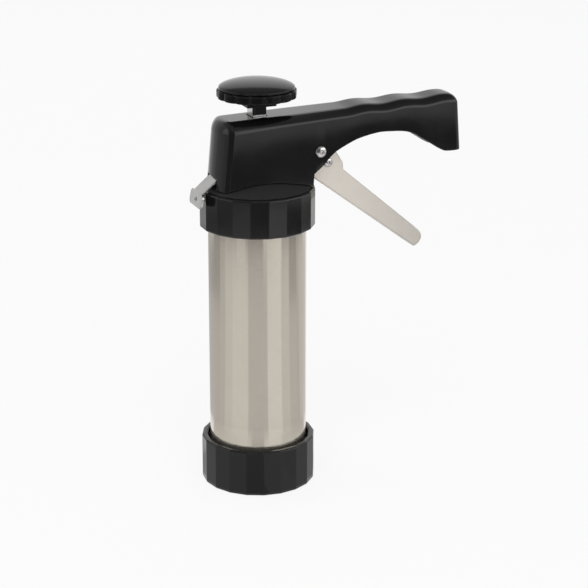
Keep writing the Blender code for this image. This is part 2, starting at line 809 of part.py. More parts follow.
def thread_profile(start):
    """Outer profile points of the rolled thread's ridges, upward from this height."""
    points = []
    flank = THREAD_WIDTH / 4
    for i in range(THREAD_COUNT):
        low = start + THREAD_PITCH * i
        crest = BARREL_RADIUS + THREAD_HEIGHT
        points.append((BARREL_RADIUS, low))
        points.append((crest, low + flank))
        points.append((crest, low + THREAD_WIDTH - flank))
        points.append((BARREL_RADIUS, low + THREAD_WIDTH))
    return points


def barrel_tube():
    inner = BARREL_RADIUS - BARREL_WALL
    upper_thread = BARREL_TOP - THREAD_LEAD - THREAD_PITCH * (THREAD_COUNT - 1)
    profile = [(inner, BARREL_BOTTOM), (BARREL_RADIUS, BARREL_BOTTOM)]
    profile += thread_profile(BARREL_BOTTOM + THREAD_LEAD)
    profile += thread_profile(upper_thread)
    profile += [(BARREL_RADIUS, BARREL_TOP), (inner, BARREL_TOP)]
    return dress(turned(profile, FINE_SIDES), "barrel_tube", BRUSHED_STEEL)


def petal(index):
    angle = math.tau * index / DISC_PETALS
    along = Vector((math.cos(angle), math.sin(angle)))
    across = Vector((-along.y, along.x))
    outline = []
    for x, y in circle_outline(1, SMALL_SIDES):
        reach = DISC_PETAL_CIRCLE + DISC_PETAL_LENGTH / 2 * x
        outline.append(tuple(along * reach + across * (DISC_PETAL_WIDTH / 2 * y)))
    return prism(outline, DISC_BOTTOM - OVERRUN, DISC_BOTTOM + OVERRUN)


def cookie_disc():
    radius = BORE_RADIUS - GAP
    top = DISC_BOTTOM + DISC_THICKNESS
    disc = cylinder(radius, DISC_BOTTOM, top, FINE_SIDES)
    cut(disc, cylinder(DISC_EYE_DIAMETER / 2, DISC_BOTTOM - OVERRUN, top + OVERRUN, SMALL_SIDES))
    cut(disc, *[petal(i) for i in range(DISC_PETALS)])
    return dress(disc, "cookie_disc", ALUMINIUM)


# Base plate, screws and spring seat


def base_plate():
    plate = cylinder(BARREL_RADIUS + GAP, BASE_PLATE_BOTTOM, BASE_PLATE_TOP, FINE_SIDES)
    rod_way = square_outline(ROD_SIDE + 2 * SLIDING_GAP)
    cut(plate, prism(rod_way, BASE_PLATE_BOTTOM - OVERRUN, BASE_PLATE_TOP + OVERRUN))
    for place in base_screw_places():
        radius = BASE_SCREW_RADIUS + GAP
        low, high = BASE_PLATE_BOTTOM - OVERRUN, BASE_PLATE_TOP + OVERRUN
        cut(plate, cylinder(radius, low, high, SMALL_SIDES, place))
    return dress(plate, "base_plate", BRUSHED_STEEL)


def screw(shank_radius, length, head_radius, head_height):
    """A slotted screw with its head at the bottom, its head's inner face at height zero."""
    profile = [(0, length), (shank_radius, length), (shank_radius, 0), (head_radius, 0)]
    profile += [(r, -z) for r, z in dome_profile(head_radius, head_height / 2, head_height / 2)]
    body = turned(profile[::-1], SMALL_SIDES)
    reach = head_radius + OVERRUN
    half_slot = DRIVER_SLOT_WIDTH / 2
    slot = block((-reach, -half_slot, -reach), (reach, half_slot, DRIVER_SLOT_DEPTH - head_height))
    return cut(body, slot)


def base_screws():
    screws = []
    for index, (x, y) in enumerate(base_screw_places(), 1):
        obj = screw(
            BASE_SCREW_RADIUS, BASE_SCREW_LENGTH, BASE_SCREW_HEAD_RADIUS, BASE_SCREW_HEAD_HEIGHT
        )
        obj.data.transform(Matrix.Translation((x, y, BASE_PLATE_BOTTOM - GAP)))
        screws.append(dress(obj, f"base_screw_{index}", BRIGHT_STEEL))
    return screws


def pierced_plate(low, high, bottom, top):
    """A flat steel plate with round corners and a square hole for the rod."""
    plate = prism(rounded_rectangle(low, high, PLATE_CORNER), bottom, top)
    hole = square_outline(ROD_SIDE + 2 * SLIDING_GAP)
    return cut(plate, prism(hole, bottom - OVERRUN, top + OVERRUN))


def spring_seat():
    low = (-SEAT_HALF_LENGTH, -SEAT_HALF_WIDTH)
    high = (SEAT_HALF_LENGTH, SEAT_HALF_WIDTH)
    plate = pierced_plate(low, high, SEAT_BOTTOM, SEAT_TOP)
    return dress(plate, "spring_seat", BRUSHED_STEEL)


def drive_plate():
    low = (-DRIVE_REAR, -DRIVE_HALF_WIDTH)
    high = (DRIVE_FRONT, DRIVE_HALF_WIDTH)
    plate = pierced_plate(low, high, DRIVE_BOTTOM, DRIVE_TOP)
    return dress(plate, "drive_plate", BRUSHED_STEEL)


def drive_spring():
    obj = coil(
        "drive_spring",
        DRIVE_SPRING_RADIUS,
        DRIVE_SPRING_WIRE,
        DRIVE_SPRING_TURNS,
        SEAT_TOP + GAP,
        DRIVE_BOTTOM - GAP,
    )
    obj.data.materials.append(finish_material("drive_spring", SPRING_STEEL))
    return obj


def catch_spring():
    plate_bottom = CATCH_Z - CATCH_THICKNESS / 2
    obj = coil(
        "catch_spring",
        CATCH_SPRING_RADIUS,
        CATCH_SPRING_WIRE,
        CATCH_SPRING_TURNS,
        BASE_PLATE_TOP + GAP,
        plate_bottom - GAP,
    )
    obj.data.materials.append(finish_material("catch_spring", SPRING_STEEL))
    return obj


# Release plate


def release_plate():
    """The catch plate, square to the rod, then tipped up about its front edge."""
    half = CATCH_THICKNESS / 2
    bend = (-CATCH_BEND, 0)
    down = (math.cos(CATCH_SLOPE), math.sin(CATCH_SLOPE))
    knee = (bend[0] - CATCH_NECK * down[0], -CATCH_NECK * down[1])
    front = CATCH_FULCRUM + CATCH_FRONT
    mitre = half * math.tan(CATCH_SLOPE / 2)
    outline = [
        (front, -half),
        (front, half),
        (bend[0] - mitre, half),
        (knee[0] + half * down[1], knee[1] + half * down[0]),
        (knee[0] - half * down[1], knee[1] - half * down[0]),
        (bend[0] + mitre, -half),
    ]
    plate = cross_prism(outline, CATCH_HALF_WIDTH)
    tab = thumb_tab()
    tab.data.transform(Matrix.Rotation(TAB_LEAN, 4, "Y"))
    tab.data.transform(Matrix.Translation((knee[0], 0, knee[1])))
    join(plate, tab)
    hole = square_outline(ROD_SIDE + 2 * SLIDING_GAP)
    cut(plate, prism(hole, -OVERRUN, OVERRUN))
    plate.data.transform(Matrix.Translation((-CATCH_FULCRUM, 0, 0)))
    plate.data.transform(Matrix.Rotation(CATCH_TILT, 4, "Y"))
    plate.data.transform(Matrix.Translation((CATCH_FULCRUM, 0, CATCH_Z)))
    return dress(plate, "release_plate", BRIGHT_STEEL)


def thumb_tab():
    """The wide thumb tab, hanging from its upper edge with its dimple facing the thumb."""
    half = CATCH_THICKNESS / 2
    low = (-TAB_HALF_WIDTH, -TAB_HEIGHT)
    high = (TAB_HALF_WIDTH, TAB_RISE)
    tab = prism(rounded_rectangle(low, high, TAB_CORNER), -half, half)
    dimple = turned(
        [(0, half - EMBED), (TAB_DIMPLE_RADIUS, half - EMBED)]
        + dome_profile(TAB_DIMPLE_RADIUS, TAB_DIMPLE_RADIUS / 2, half),
        SMALL_SIDES,
    )
    dimple.data.transform(Matrix.Translation((0, -TAB_HEIGHT / 2, 0)))
    join(tab, dimple)
    tab.data.transform(Matrix(((0, 0, -1, 0), (1, 0, 0, 0), (0, 1, 0, 0), (0, 0, 0, 1))))
    return tab


# Lever


def lever_point(along, height):
    """A point of the lever's side, given along its lower edge from the heel and square to it."""
    c, s = math.cos(LEVER_ANGLE), math.sin(LEVER_ANGLE)
    x = PIVOT_REACH + LEVER_HEEL[0] + along * c + height * s
    return (x, PIVOT_Z + LEVER_HEEL[1] - along * s + height * c)


def ear_outline():
    """The round ear about the pivot, from its front to its rear."""
    points = []
    for i in range(EAR_STEPS + 1):
        angle = EAR_START + (EAR_END - EAR_START) * i / EAR_STEPS
        x = PIVOT_REACH + EAR_RADIUS * math.cos(angle)
        points.append((x, PIVOT_Z + EAR_RADIUS * math.sin(angle)))
    return points


def lever_outline():
    lower = [lever_point(0, 0)]
    tip = [lever_point(LEVER_LENGTH * a, LEVER_TIP_HEIGHT * h) for a, h in TIP_SHARES]
    upper = [lever_point(LEVER_LENGTH * a, LEVER_ROOT_HEIGHT * h) for a, h in SHOULDER_SHARES]
    heel = [lever_point(LEVER_LENGTH * a, LEVER_ROOT_HEIGHT * h) for a, h in HEEL_SHARES]
    return lower + tip + upper + ear_outline() + heel


def lever():
    """The channel: two cheeks joined by a web along the lower edge and round the tip."""
    outline = lever_outline()
    body = cross_prism(outline, LEVER_HALF_WIDTH)
    round_lower_edges(body)
    wall = LEVER_THICKNESS
    inside = [lever_point(-LEVER_LENGTH, wall)]
    for a, h in TIP_SHARES[:-1]:
        inside.append(lever_point(LEVER_LENGTH * a - wall, max(wall, LEVER_TIP_HEIGHT * h)))
    inside.append(lever_point(LEVER_LENGTH - wall - LEVER_TIP_CORNER, LEVER_LENGTH))
    inside.append(lever_point(-LEVER_LENGTH, LEVER_LENGTH))
    cut(body, cross_prism(inside, LEVER_HALF_WIDTH - wall))
    pivot = (PIVOT_REACH, PIVOT_Z)
    cut(body, cross_cylinder(PIVOT_PIN_RADIUS + GAP, LEVER_HALF_WIDTH + OVERRUN, pivot))
    cut(body, cross_cylinder(RIVET_RADIUS + GAP, LEVER_HALF_WIDTH + OVERRUN, rivet_place()))
    return dress(body, "lever", BRUSHED_STEEL)


def round_lower_edges(body):
    """Rounds the two long edges where the channel is bent, and the edges round its tip."""
    bm = bmesh.new()
    bm.from_mesh(body.data)
    chain = [lever_point(0, 0)]
    chain += [lever_point(LEVER_LENGTH * a, LEVER_TIP_HEIGHT * h) for a, h in TIP_SHARES]
    marks = [Vector((x, 0, z)) for x, z in chain]

    def on_chain(vert):
        flat = Vector((vert.co.x, 0, vert.co.z))
        return any((flat - mark).length < GAP for mark in marks)

    edges = [
        e
        for e in bm.edges
        if all(on_chain(v) for v in e.verts) and abs(e.verts[0].co.y - e.verts[1].co.y) < GAP
    ]
    bmesh.ops.bevel(bm, geom=edges, offset=LEVER_BEND, segments=3, profile=0.5, affect="EDGES")
    bm.to_mesh(body.data)
    bm.free()


def rivet_place():
    return (PIVOT_REACH + RIVET_PLACE[0], PIVOT_Z + RIVET_PLACE[1])


def bar_outline(path, radius):
    """The outline of a bent bar with round ends, along a path of points."""
    points = [Vector(p) for p in path]
    left, right = [], []
    for i in range(1, len(points) - 1):
        before = (points[i] - points[i - 1]).normalized()
        after = (points[i + 1] - points[i]).normalized()
        mitre = (before + after).normalized()
        normal = Vector((-mitre.y, mitre.x))
        reach = radius / math.cos(before.angle(after) / 2)
        left.append(points[i] + normal * reach)
        right.append(points[i] - normal * reach)
    start = round_end(points[0], points[0] - points[1], radius)
    end = round_end(points[-1], points[-1] - points[-2], radius)
    return [tuple(p) for p in end + left[::-1] + start + right]


def round_end(centre, outward, radius):
    """Half a circle about the centre, on the side that outward points to."""
    facing = math.atan2(outward.y, outward.x)
    points = []
    for i in range(2 * ROUND_STEPS + 1):
        angle = facing - math.pi / 2 + math.pi * i / (2 * ROUND_STEPS)
        points.append(centre + Vector((math.cos(angle), math.sin(angle))) * radius)
    return points


def from_pivot(place):
    return (PIVOT_REACH + place[0], PIVOT_Z + place[1])


def pusher_arm():
    """The bent arm inside the lever, whose nose bears on the drive plate."""
    path = [rivet_place(), from_pivot((0, 0)), from_pivot(ARM_ELBOW), from_pivot(ARM_NOSE)]
    arm = cross_prism(bar_outline(path, ARM_RADIUS), ARM_HALF_WIDTH)
    low = PIVOT_REACH + ARM_ELBOW[0] + ARM_RADIUS
    reach = PIVOT_REACH + LEVER_LENGTH
    hollow = rectangle_outline((low, COLLAR_TOP), (reach, HEAD_TOP))
    cut(arm, cross_prism(hollow, ARM_HALF_WIDTH - ARM_WALL))
    cut(arm, cross_cylinder(PIVOT_PIN_RADIUS + GAP, LEVER_HALF_WIDTH, (PIVOT_REACH, PIVOT_Z)))
    cut(arm, cross_cylinder(RIVET_RADIUS + GAP, LEVER_HALF_WIDTH, rivet_place()))
    return dress(arm, "pusher_arm", BRUSHED_STEEL)


def aim_along_y(obj, place):
    """Turns a piece that was built along Z so that its top points along -Y, and places it."""
    obj.data.transform(Matrix.Rotation(math.pi / 2, 4, "X"))
    obj.data.transform(Matrix.Translation((place[0], 0, place[1])))
    return obj


def head_wall_at_pivot():
    """Distance of the moulding's side from the middle plane, beside the pivot."""
    share = (crown_height(PIVOT_REACH) - CROWN_DROP - PIVOT_Z) / (HEAD_HEIGHT - CROWN_DROP)
    return taper(PIVOT_REACH, HEAD_HALF_WIDTH, HANDLE_HALF_WIDTH) + SIDE_DRAFT * share


def lever_pin():
    wall = head_wall_at_pivot()
    seat = wall + PIN_STAND_OFF
    tail = wall + PIN_STAND_OFF + CLIP_THICKNESS + PIN_TAIL
    profile = [(0, -tail), (PIVOT_PIN_RADIUS, -tail), (PIVOT_PIN_RADIUS, seat)]
    profile += dome_profile(PIVOT_HEAD_RADIUS, PIVOT_HEAD_HEIGHT, seat)
    pin = aim_along_y(turned(profile, SMALL_SIDES), (PIVOT_REACH, PIVOT_Z))
    return dress(pin, "lever_pin", BRIGHT_STEEL)


def pin_clip():
    seat = head_wall_at_pivot() + PIN_STAND_OFF
    low, high = -seat - CLIP_THICKNESS, -seat
    inner = PIVOT_PIN_RADIUS + GAP
    profile = [(inner, low), (CLIP_RADIUS, low), (CLIP_RADIUS, high), (inner, high)]
    clip = aim_along_y(turned(profile, SMALL_SIDES), (PIVOT_REACH, PIVOT_Z))
    return dress(clip, "pin_clip", SPRING_STEEL)


def lever_rivet():
    seat = LEVER_HALF_WIDTH + GAP
    near = dome_profile(RIVET_HEAD_RADIUS, RIVET_HEAD_HEIGHT, seat)
    far = [(r, -z) for r, z in near[::-1]]
    profile = far + [(RIVET_RADIUS, -seat), (RIVET_RADIUS, seat)] + near
    rivet = aim_along_y(turned(profile, SMALL_SIDES), rivet_place())
    return dress(rivet, "lever_rivet", BRIGHT_STEEL)


# Plunger


def push_rod():
    rod = prism(square_outline(ROD_SIDE, ROD_CORNER), ROD_BOTTOM, ROD_TOP)
    join(rod, cylinder(STUD_RADIUS, ROD_BOTTOM - STUD_LENGTH, ROD_BOTTOM + EMBED, SMALL_SIDES))
    bottom = WELL_FLOOR + GAP - KNOB_SCREW_LENGTH - GAP
    cut(rod, cylinder(KNOB_SCREW_RADIUS + GAP, bottom, ROD_TOP + OVERRUN, SMALL_SIDES))
    return dress(rod, "push_rod", BRIGHT_STEEL)


def piston():
    hole = STUD_RADIUS + GAP
    pocket_top = PISTON_BOTTOM + NUT_POCKET_DEPTH
    rim = PISTON_RADIUS - PISTON_RIM
    groove = PISTON_TOP - PISTON_RELIEF
    profile = [
        (hole, pocket_top),
        (NUT_POCKET_RADIUS, pocket_top),
        (NUT_POCKET_RADIUS, PISTON_BOTTOM),
        (PISTON_RADIUS - PISTON_EDGE, PISTON_BOTTOM),
        (PISTON_RADIUS, PISTON_BOTTOM + PISTON_EDGE),
        (PISTON_RADIUS, PISTON_TOP),
        (rim, PISTON_TOP),
        (rim, groove),
        (PISTON_HUB_RADIUS, groove),
        (PISTON_HUB_RADIUS, PISTON_TOP),
        (hole, PISTON_TOP),
    ]
    return dress(turned(profile, FINE_SIDES), "piston", BLACK_PLASTIC)


def piston_nut():
    top = PISTON_BOTTOM + NUT_POCKET_DEPTH - GAP
    corner_radius = NUT_WIDTH / math.sqrt(3)
    nut = prism(circle_outline(corner_radius, 6), top - NUT_HEIGHT, top)
    cut(nut, cylinder(STUD_RADIUS + GAP, PISTON_BOTTOM - OVERRUN, top + OVERRUN, SMALL_SIDES))
    return dress(nut, "piston_nut", BRIGHT_STEEL)


def lobed_outline(radius):
    """The knob's rim from above: round lobes with narrow notches between them."""
    count = KNOB_LOBES * LOBE_POINTS
    outline = []
    for i in range(count):
        angle = math.tau * i / count
        swell = abs(math.sin(KNOB_LOBES * angle / 2)) ** LOBE_POWER
        reach = radius - KNOB_LOBE_DEPTH * (1 - swell)
        outline.append((reach * math.cos(angle), reach * math.sin(angle)))
    return outline


def knob_skirt():
    bm = bmesh.new()
    levels = [
        (KNOB_RADIUS - KNOB_EDGE, SKIRT_BOTTOM),
        (KNOB_RADIUS, SKIRT_BOTTOM + KNOB_EDGE),
        (KNOB_RADIUS, SKIRT_TOP - KNOB_EDGE),
        (KNOB_RADIUS - KNOB_EDGE, SKIRT_TOP),
    ]
    loops = [[bm.verts.new((x, y, z)) for x, y in lobed_outline(r)] for r, z in levels]
    for lower, upper in zip(loops, loops[1:], strict=False):
        bridge(bm, lower, upper)
    bm.faces.new(loops[0])
    bm.faces.new(loops[-1])
    return object_from(bm, "skirt")


def knob():
    body = knob_skirt()
    join(body, prism(square_outline(KNOB_BOSS_SIDE, ROD_CORNER), KNOB_BOTTOM, SKIRT_BOTTOM + EMBED))
    socket_top = KNOB_BOTTOM + ROD_SOCKET_DEPTH
    socket = square_outline(ROD_SIDE + 2 * GAP)
    cut(
        body,
        prism(socket, KNOB_BOTTOM - OVERRUN, socket_top),
        cylinder(KNOB_SCREW_RADIUS + GAP, KNOB_BOTTOM, SKIRT_TOP + OVERRUN, SMALL_SIDES),
        cylinder(KNOB_WELL_RADIUS, WELL_FLOOR, SKIRT_TOP + OVERRUN),
    )
    return dress(body, "knob", BLACK_PLASTIC)


def knob_cap():
    bottom = SKIRT_TOP + GAP
    shoulder = bottom + CAP_SIDE + CAP_EDGE
    flat = CAP_RADIUS - CAP_EDGE
    profile = [(0, bottom), (CAP_RADIUS, bottom)]
    for i in range(ROUND_STEPS):
        angle = math.pi / 2 * i / ROUND_STEPS
        x = flat + CAP_EDGE * math.cos(angle)
        profile.append((x, bottom + CAP_SIDE + CAP_EDGE * math.sin(angle)))
    for i in range(2 * ROUND_STEPS + 1):
        share = 1 - i / (2 * ROUND_STEPS)
        profile.append((flat * share, TOTAL_HEIGHT - (TOTAL_HEIGHT - shoulder) * share**2))
    return dress(turned(profile, FINE_SIDES), "knob_cap", BLACK_PLASTIC)


def knob_screw():
    obj = screw(
        KNOB_SCREW_RADIUS, KNOB_SCREW_LENGTH, KNOB_SCREW_HEAD_RADIUS, KNOB_SCREW_HEAD_HEIGHT
    )
    obj.data.transform(Matrix.Rotation(math.pi, 4, "X"))
    obj.data.transform(Matrix.Translation((0, 0, WELL_FLOOR + GAP)))
    return dress(obj, "knob_screw", BRIGHT_STEEL)


# Assembly


def carrier(name, place, parent=None):
    """An empty on a joint's axis, which carries the pieces that move about it."""
    empty = bpy.data.objects.new(name, None)
    bpy.context.collection.objects.link(empty)
    empty.parent = parent
    offset = parent["place"] if parent else (0, 0, 0)
    empty["place"] = place
    empty.location = Vector(place) - Vector(offset)
    return empty


def carry(empty, *pieces):
    """Hangs pieces on an empty, with their own origins there too."""
    for piece in pieces:
        piece.data.transform(Matrix.Translation(-Vector(empty["place"])))
        piece.parent = empty


def build_press():
    press = carrier("press", (0, 0, 0))
    barrel = carrier("barrel", (0, 0, 0), press)
    head = carrier("head", (0, 0, COLLAR_TOP), barrel)
    collar = carrier("collar", (0, 0, COLLAR_TOP), head)
    plunger = carrier("plunger", (0, 0, KNOB_BOTTOM), head)
    drive = carrier("drive", (0, 0, DRIVE_TOP), head)
    lever_axis = carrier("lever_axis", (PIVOT_REACH, 0, PIVOT_Z), head)
    release_axis = carrier("release_axis", (CATCH_FULCRUM, 0, CATCH_Z), head)
    carry(press, bottom_ring(), cookie_disc())
    carry(barrel, barrel_tube())
    carry(head, head_shell(), base_plate(), *base_screws(), spring_seat())
    carry(head, lever_pin(), pin_clip(), drive_spring(), catch_spring())
    carry(collar, collar_nut())
    carry(plunger, push_rod(), piston(), piston_nut(), knob(), knob_screw(), knob_cap())
    carry(drive, drive_plate())
    carry(lever_axis, lever(), pusher_arm(), lever_rivet())
    carry(release_axis, release_plate())
    return press


def centre_on_floor(press):
    """Moves the press along X until the middle of its bounding box is over the world's origin."""
    bpy.context.view_layer.update()
    reaches = []
    for obj in bpy.data.objects:
        if obj.type == "MESH":
            reaches += [(obj.matrix_world @ Vector(corner)).x for corner in obj.bound_box]
    press.location.x = -(min(reaches) + max(reaches)) / 2
    bpy.context.view_layer.update()
    print("barrel axis at x:", round(press.location.x, 6))


clear_scene()
centre_on_floor(build_press())
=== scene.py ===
"""The looks of a hand-squeezed cookie press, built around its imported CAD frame, in metres.

Each shown piece stands exactly where its CAD node is. Pieces are built about the barrel's axis,
with the handle along +X, and then moved sideways to that axis.
"""

from itertools import pairwise
from math import atan2, cos, hypot, pi, radians, sin, sqrt, tan, tau

import bmesh
import bpy
from mathutils import Matrix, Vector


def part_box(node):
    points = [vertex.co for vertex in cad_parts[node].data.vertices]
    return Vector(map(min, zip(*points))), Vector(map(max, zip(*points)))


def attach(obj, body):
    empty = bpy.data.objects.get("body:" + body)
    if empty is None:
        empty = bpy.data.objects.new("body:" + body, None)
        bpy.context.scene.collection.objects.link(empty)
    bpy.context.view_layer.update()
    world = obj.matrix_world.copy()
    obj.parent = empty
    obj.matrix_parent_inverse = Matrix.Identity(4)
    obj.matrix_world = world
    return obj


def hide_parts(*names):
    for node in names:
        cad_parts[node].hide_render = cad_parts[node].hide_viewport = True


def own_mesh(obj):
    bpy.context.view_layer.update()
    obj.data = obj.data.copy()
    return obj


# Clearances of the CAD model
GAP = 0.0003
SLIDING_GAP = 0.0004
OVERRUN = 0.004
EMBED = 0.0007
MERGE_DISTANCE = 0.000001
SMOOTH_ANGLE = radians(32)
BEVEL_ANGLE = radians(38)

# Sizes of the CAD model, which the pieces here repeat more finely. A spring has a radius, a wire
# and a number of turns.
TOTAL_HEIGHT = 0.2200
RING_WIDTH = 0.0602
FACETS = 20
RING_HEIGHT = 0.0250
RING_EDGE = 0.0010
FACET_CORNER = 0.0022
BORE_RADIUS = 0.0270
MOUTH_RADIUS = 0.0275
RING_FLOOR = 0.0030
RING_TURN = radians(2.8)
OUTLET_RADIUS = 0.0232
OUTLET_CHAMFER = 0.0010
COLLAR_HEIGHT = 0.0205
COLLAR_EYE_RADIUS = 0.0134
COLLAR_DOME_RISE = 0.0041
COLLAR_LIP = 0.0019
COLLAR_TURN = radians(9)
BARREL_RADIUS = 0.0259
BARREL_WALL = 0.0008
THREAD_HEIGHT = 0.0005
THREAD_WIDTH = 0.0014
THREAD_PITCH = 0.0034
THREAD_FULLNESS = 0.7
THREAD_COUNT = 3
THREAD_LEAD = 0.0040
DISC_THICKNESS = 0.0012
BASE_PLATE_THICKNESS = 0.0030
BASE_SCREWS = 3
BASE_SCREW_CIRCLE = 0.0107
BASE_SCREW_RADIUS = 0.0013
BASE_SCREW_LENGTH = 0.0075
SPIGOT_RADIUS = 0.0130
SPIGOT_BORE_RADIUS = 0.0083
HEAD_HEIGHT = 0.03775
HEAD_WALL = 0.0026
REAR_RADIUS_TOP = 0.0237
REAR_DRAFT = 0.0026
HEAD_HALF_WIDTH = 0.0138
HANDLE_HALF_WIDTH = 0.0100
SIDE_DRAFT = 0.0004
HANDLE_REACH_TOP = 0.1114
END_DRAFT = 0.0027
REAR_FILLET = 0.0040
END_FILLET = 0.0030
END_BOW = 0.0005
CROWN_HALF_WIDTH = 0.0068
CROWN_END_HALF_WIDTH = 0.0045
CROWN_REAR_INSET = 0.0052
CROWN_END_INSET = 0.0048
CROWN_FILLET = 0.0020
CROWN_DROP = 0.0044
CROWN_FLATNESS = 2.4
CROWN_FULLNESS = 1.6
CROWN_REAR_DROP = 0.0068
DROP_POWER = 5
TAPER_POWER = 1.25
HEAD_SLOPE = 0.0310
WAVE_START = 0.0455
WAVE_LENGTH = 0.0230
WAVE_HEIGHT = 0.0009
ARCH_FOOT = 0.0268
HOOK_LENGTH = 0.0074
ARCH_HOOK_HEIGHT = 0.0114
ARCH_RISE = 0.0141
ARCH_SHARES = (
    *((0.0, -0.34), (0.03, -0.21), (0.061, -0.08), (0.09, 0.09)),
    *((0.15, 0.39), (0.225, 0.61), (0.33, 0.84), (0.48, 0.99)),
    *((0.58, 0.98), (0.675, 0.93), (0.74, 0.82), (0.80, 0.62)),
    *((0.87, 0.39), (0.945, 0.13), (1.0, 0.0), (1.14, -0.01)),
)
FOOT_LENGTH = 0.0022
FOOT_FACE = 0.0001
RIM_ROUND = 0.0005
RIM_SHARE = 0.3
FLOOR_THICKNESS = 0.0018
FLOOR_REACH = 0.0258
RIB_INNER = 0.0080
SLOT_HALF_WIDTH = 0.0068
SLOT_HEIGHT = 0.0083
ROD_SIDE = 0.0080
ROD_CORNER = 0.0006
BRIGHT_RISE = 0.0008
ROD_SOCKET_DEPTH = 0.0046
STUD_RADIUS = 0.0025
STUD_LENGTH = 0.0080
PISTON_THICKNESS = 0.0088
KNOB_LIFT = 0.0057
KNOB_BOSS_SIDE = 0.0160
KNOB_BOSS_HEIGHT = 0.0038
KNOB_RADIUS = 0.0208
KNOB_LOBES = 15
KNOB_LOBE_DEPTH = 0.0011
LOBE_POWER = 0.55
KNOB_SKIRT_HEIGHT = 0.0050
KNOB_EDGE = 0.0008
KNOB_WEB = 0.0018
KNOB_WELL_RADIUS = 0.0062
CAP_RADIUS = 0.0197
CAP_HEIGHT = 0.00425
SKIRT_DROP = 0.0007
CAP_SIDE = 0.0010
CAP_FLATNESS = 2.2
CAP_FULLNESS = 1.5
KNOB_SCREW_RADIUS = 0.0020
KNOB_SCREW_LENGTH = 0.0100
SEAT_RISE = 0.0098
SEAT_THICKNESS = 0.0015
SEAT_HALF_LENGTH = 0.0120
DRIVE_THICKNESS = 0.0025
DRIVE_SPRING = (0.0070, 0.0012, 4)
CATCH_SPRING = (0.0067, 0.0009, 3)
CATCH_RISE = 0.0067
CATCH_TILT = radians(1.1)
CATCH_FULCRUM = 0.0090
CATCH_FRONT = 0.0018
CATCH_THICKNESS = 0.0012
CATCH_HALF_WIDTH = 0.0060
CATCH_BEND = 0.0230
CATCH_SLOPE = radians(39.1)
CATCH_NECK = 0.0122
TAB_HEIGHT = 0.0073
TAB_LEAN = radians(10)
TAB_HALF_WIDTH = 0.0089
TAB_CORNER = 0.0026
TAB_RISE = 0.0005
TAB_DIMPLE_RADIUS = 0.0012
PIN_PUNCH = 0.0011
RIVET_PUNCH = 0.0007
PUNCH_DEPTH = 0.0004
PUNCH_SHARES = ((1, 0), (0.75, 0.8), (0.4, 1), (0, 1))
PIVOT_REACH = 0.0302
PIVOT_RISE = 0.0186
LEVER_ANGLE = radians(36.87)
LEVER_HEEL = (-0.0015, -0.0152)
LEVER_LENGTH = 0.0745
LEVER_ROOT_HEIGHT = 0.0124
LEVER_TIP_HEIGHT = 0.0087
LEVER_THICKNESS = 0.0012
LEVER_HALF_WIDTH = 0.0085
LEVER_BEND = 0.0014
LEVER_TIP_CORNER = 0.0026
EAR_RADIUS = 0.0065
EAR_START = radians(60)
EAR_END = radians(205)
SHOULDER_SHARES = ((0.150, 1.00), (0.130, 1.14), (0.105, 1.26), (0.025, 1.44))
TIP_SHARES = (
    *((0.984, 0.0), (0.997, 0.16), (1.004, 0.42)),
    *((0.998, 0.70), (0.976, 0.92), (0.945, 1.0)),
)
HEEL_SHARES = ((-0.16, 0.70), (-0.013, 0.07))
PIVOT_PIN_RADIUS = 0.0020
PIVOT_HEAD_RADIUS = 0.0031
PIVOT_HEAD_HEIGHT = 0.0014
PIN_STAND_OFF = 0.0005
CLIP_THICKNESS = 0.0006
PIN_TAIL = 0.0010
RIVET_PLACE = (0.0062, -0.0074)
RIVET_RADIUS = 0.0014
RIVET_HEAD_RADIUS = 0.0025
RIVET_HEAD_HEIGHT = 0.0010
ARM_NOSE_RISE = 0.0107
ARM_RADIUS = 0.0026

# Heights, radii and places that follow
RING_RADIUS = RING_WIDTH / 2 / cos(pi / FACETS)
KNOB_HEIGHT = KNOB_BOSS_HEIGHT + KNOB_SKIRT_HEIGHT + GAP + CAP_HEIGHT
COLLAR_TOP = TOTAL_HEIGHT - KNOB_HEIGHT - KNOB_LIFT - HEAD_HEIGHT
COLLAR_BOTTOM = COLLAR_TOP - COLLAR_HEIGHT
LIP_BOTTOM = COLLAR_TOP - COLLAR_LIP
BASE_PLATE_TOP = LIP_BOTTOM - GAP
BASE_PLATE_BOTTOM = BASE_PLATE_TOP - BASE_PLATE_THICKNESS
BARREL_BOTTOM = RING_FLOOR + GAP + DISC_THICKNESS + GAP
BARREL_TOP = BASE_PLATE_BOTTOM - GAP
HEAD_TOP = COLLAR_TOP + HEAD_HEIGHT
FLOOR_TOP = COLLAR_TOP + COLLAR_DOME_RISE + GAP + FLOOR_THICKNESS
REAR_RADIUS_BOTTOM = REAR_RADIUS_TOP + REAR_DRAFT
PAST_REAR = -(REAR_RADIUS_BOTTOM + OVERRUN)
HANDLE_REACH_BOTTOM = HANDLE_REACH_TOP + END_DRAFT
CROWN_REAR = REAR_RADIUS_TOP - CROWN_REAR_INSET
CROWN_REACH = HANDLE_REACH_TOP - CROWN_END_INSET
ARCH_HOOK = HANDLE_REACH_TOP - HOOK_LENGTH
NOTCH_FRONT = GAP - (REAR_RADIUS_TOP - HEAD_WALL)
SEAT_BOTTOM = COLLAR_TOP + SEAT_RISE
SEAT_TOP = SEAT_BOTTOM + SEAT_THICKNESS
CATCH_Z = COLLAR_TOP + CATCH_RISE
PIVOT_Z = COLLAR_TOP + PIVOT_RISE
DRIVE_BOTTOM = PIVOT_Z + ARM_NOSE_RISE - ARM_RADIUS - GAP - DRIVE_THICKNESS
ROD_BOTTOM = BARREL_BOTTOM + GAP + PISTON_THICKNESS + GAP
KNOB_BOTTOM = HEAD_TOP + KNOB_LIFT
ROD_TOP = KNOB_BOTTOM + ROD_SOCKET_DEPTH - GAP
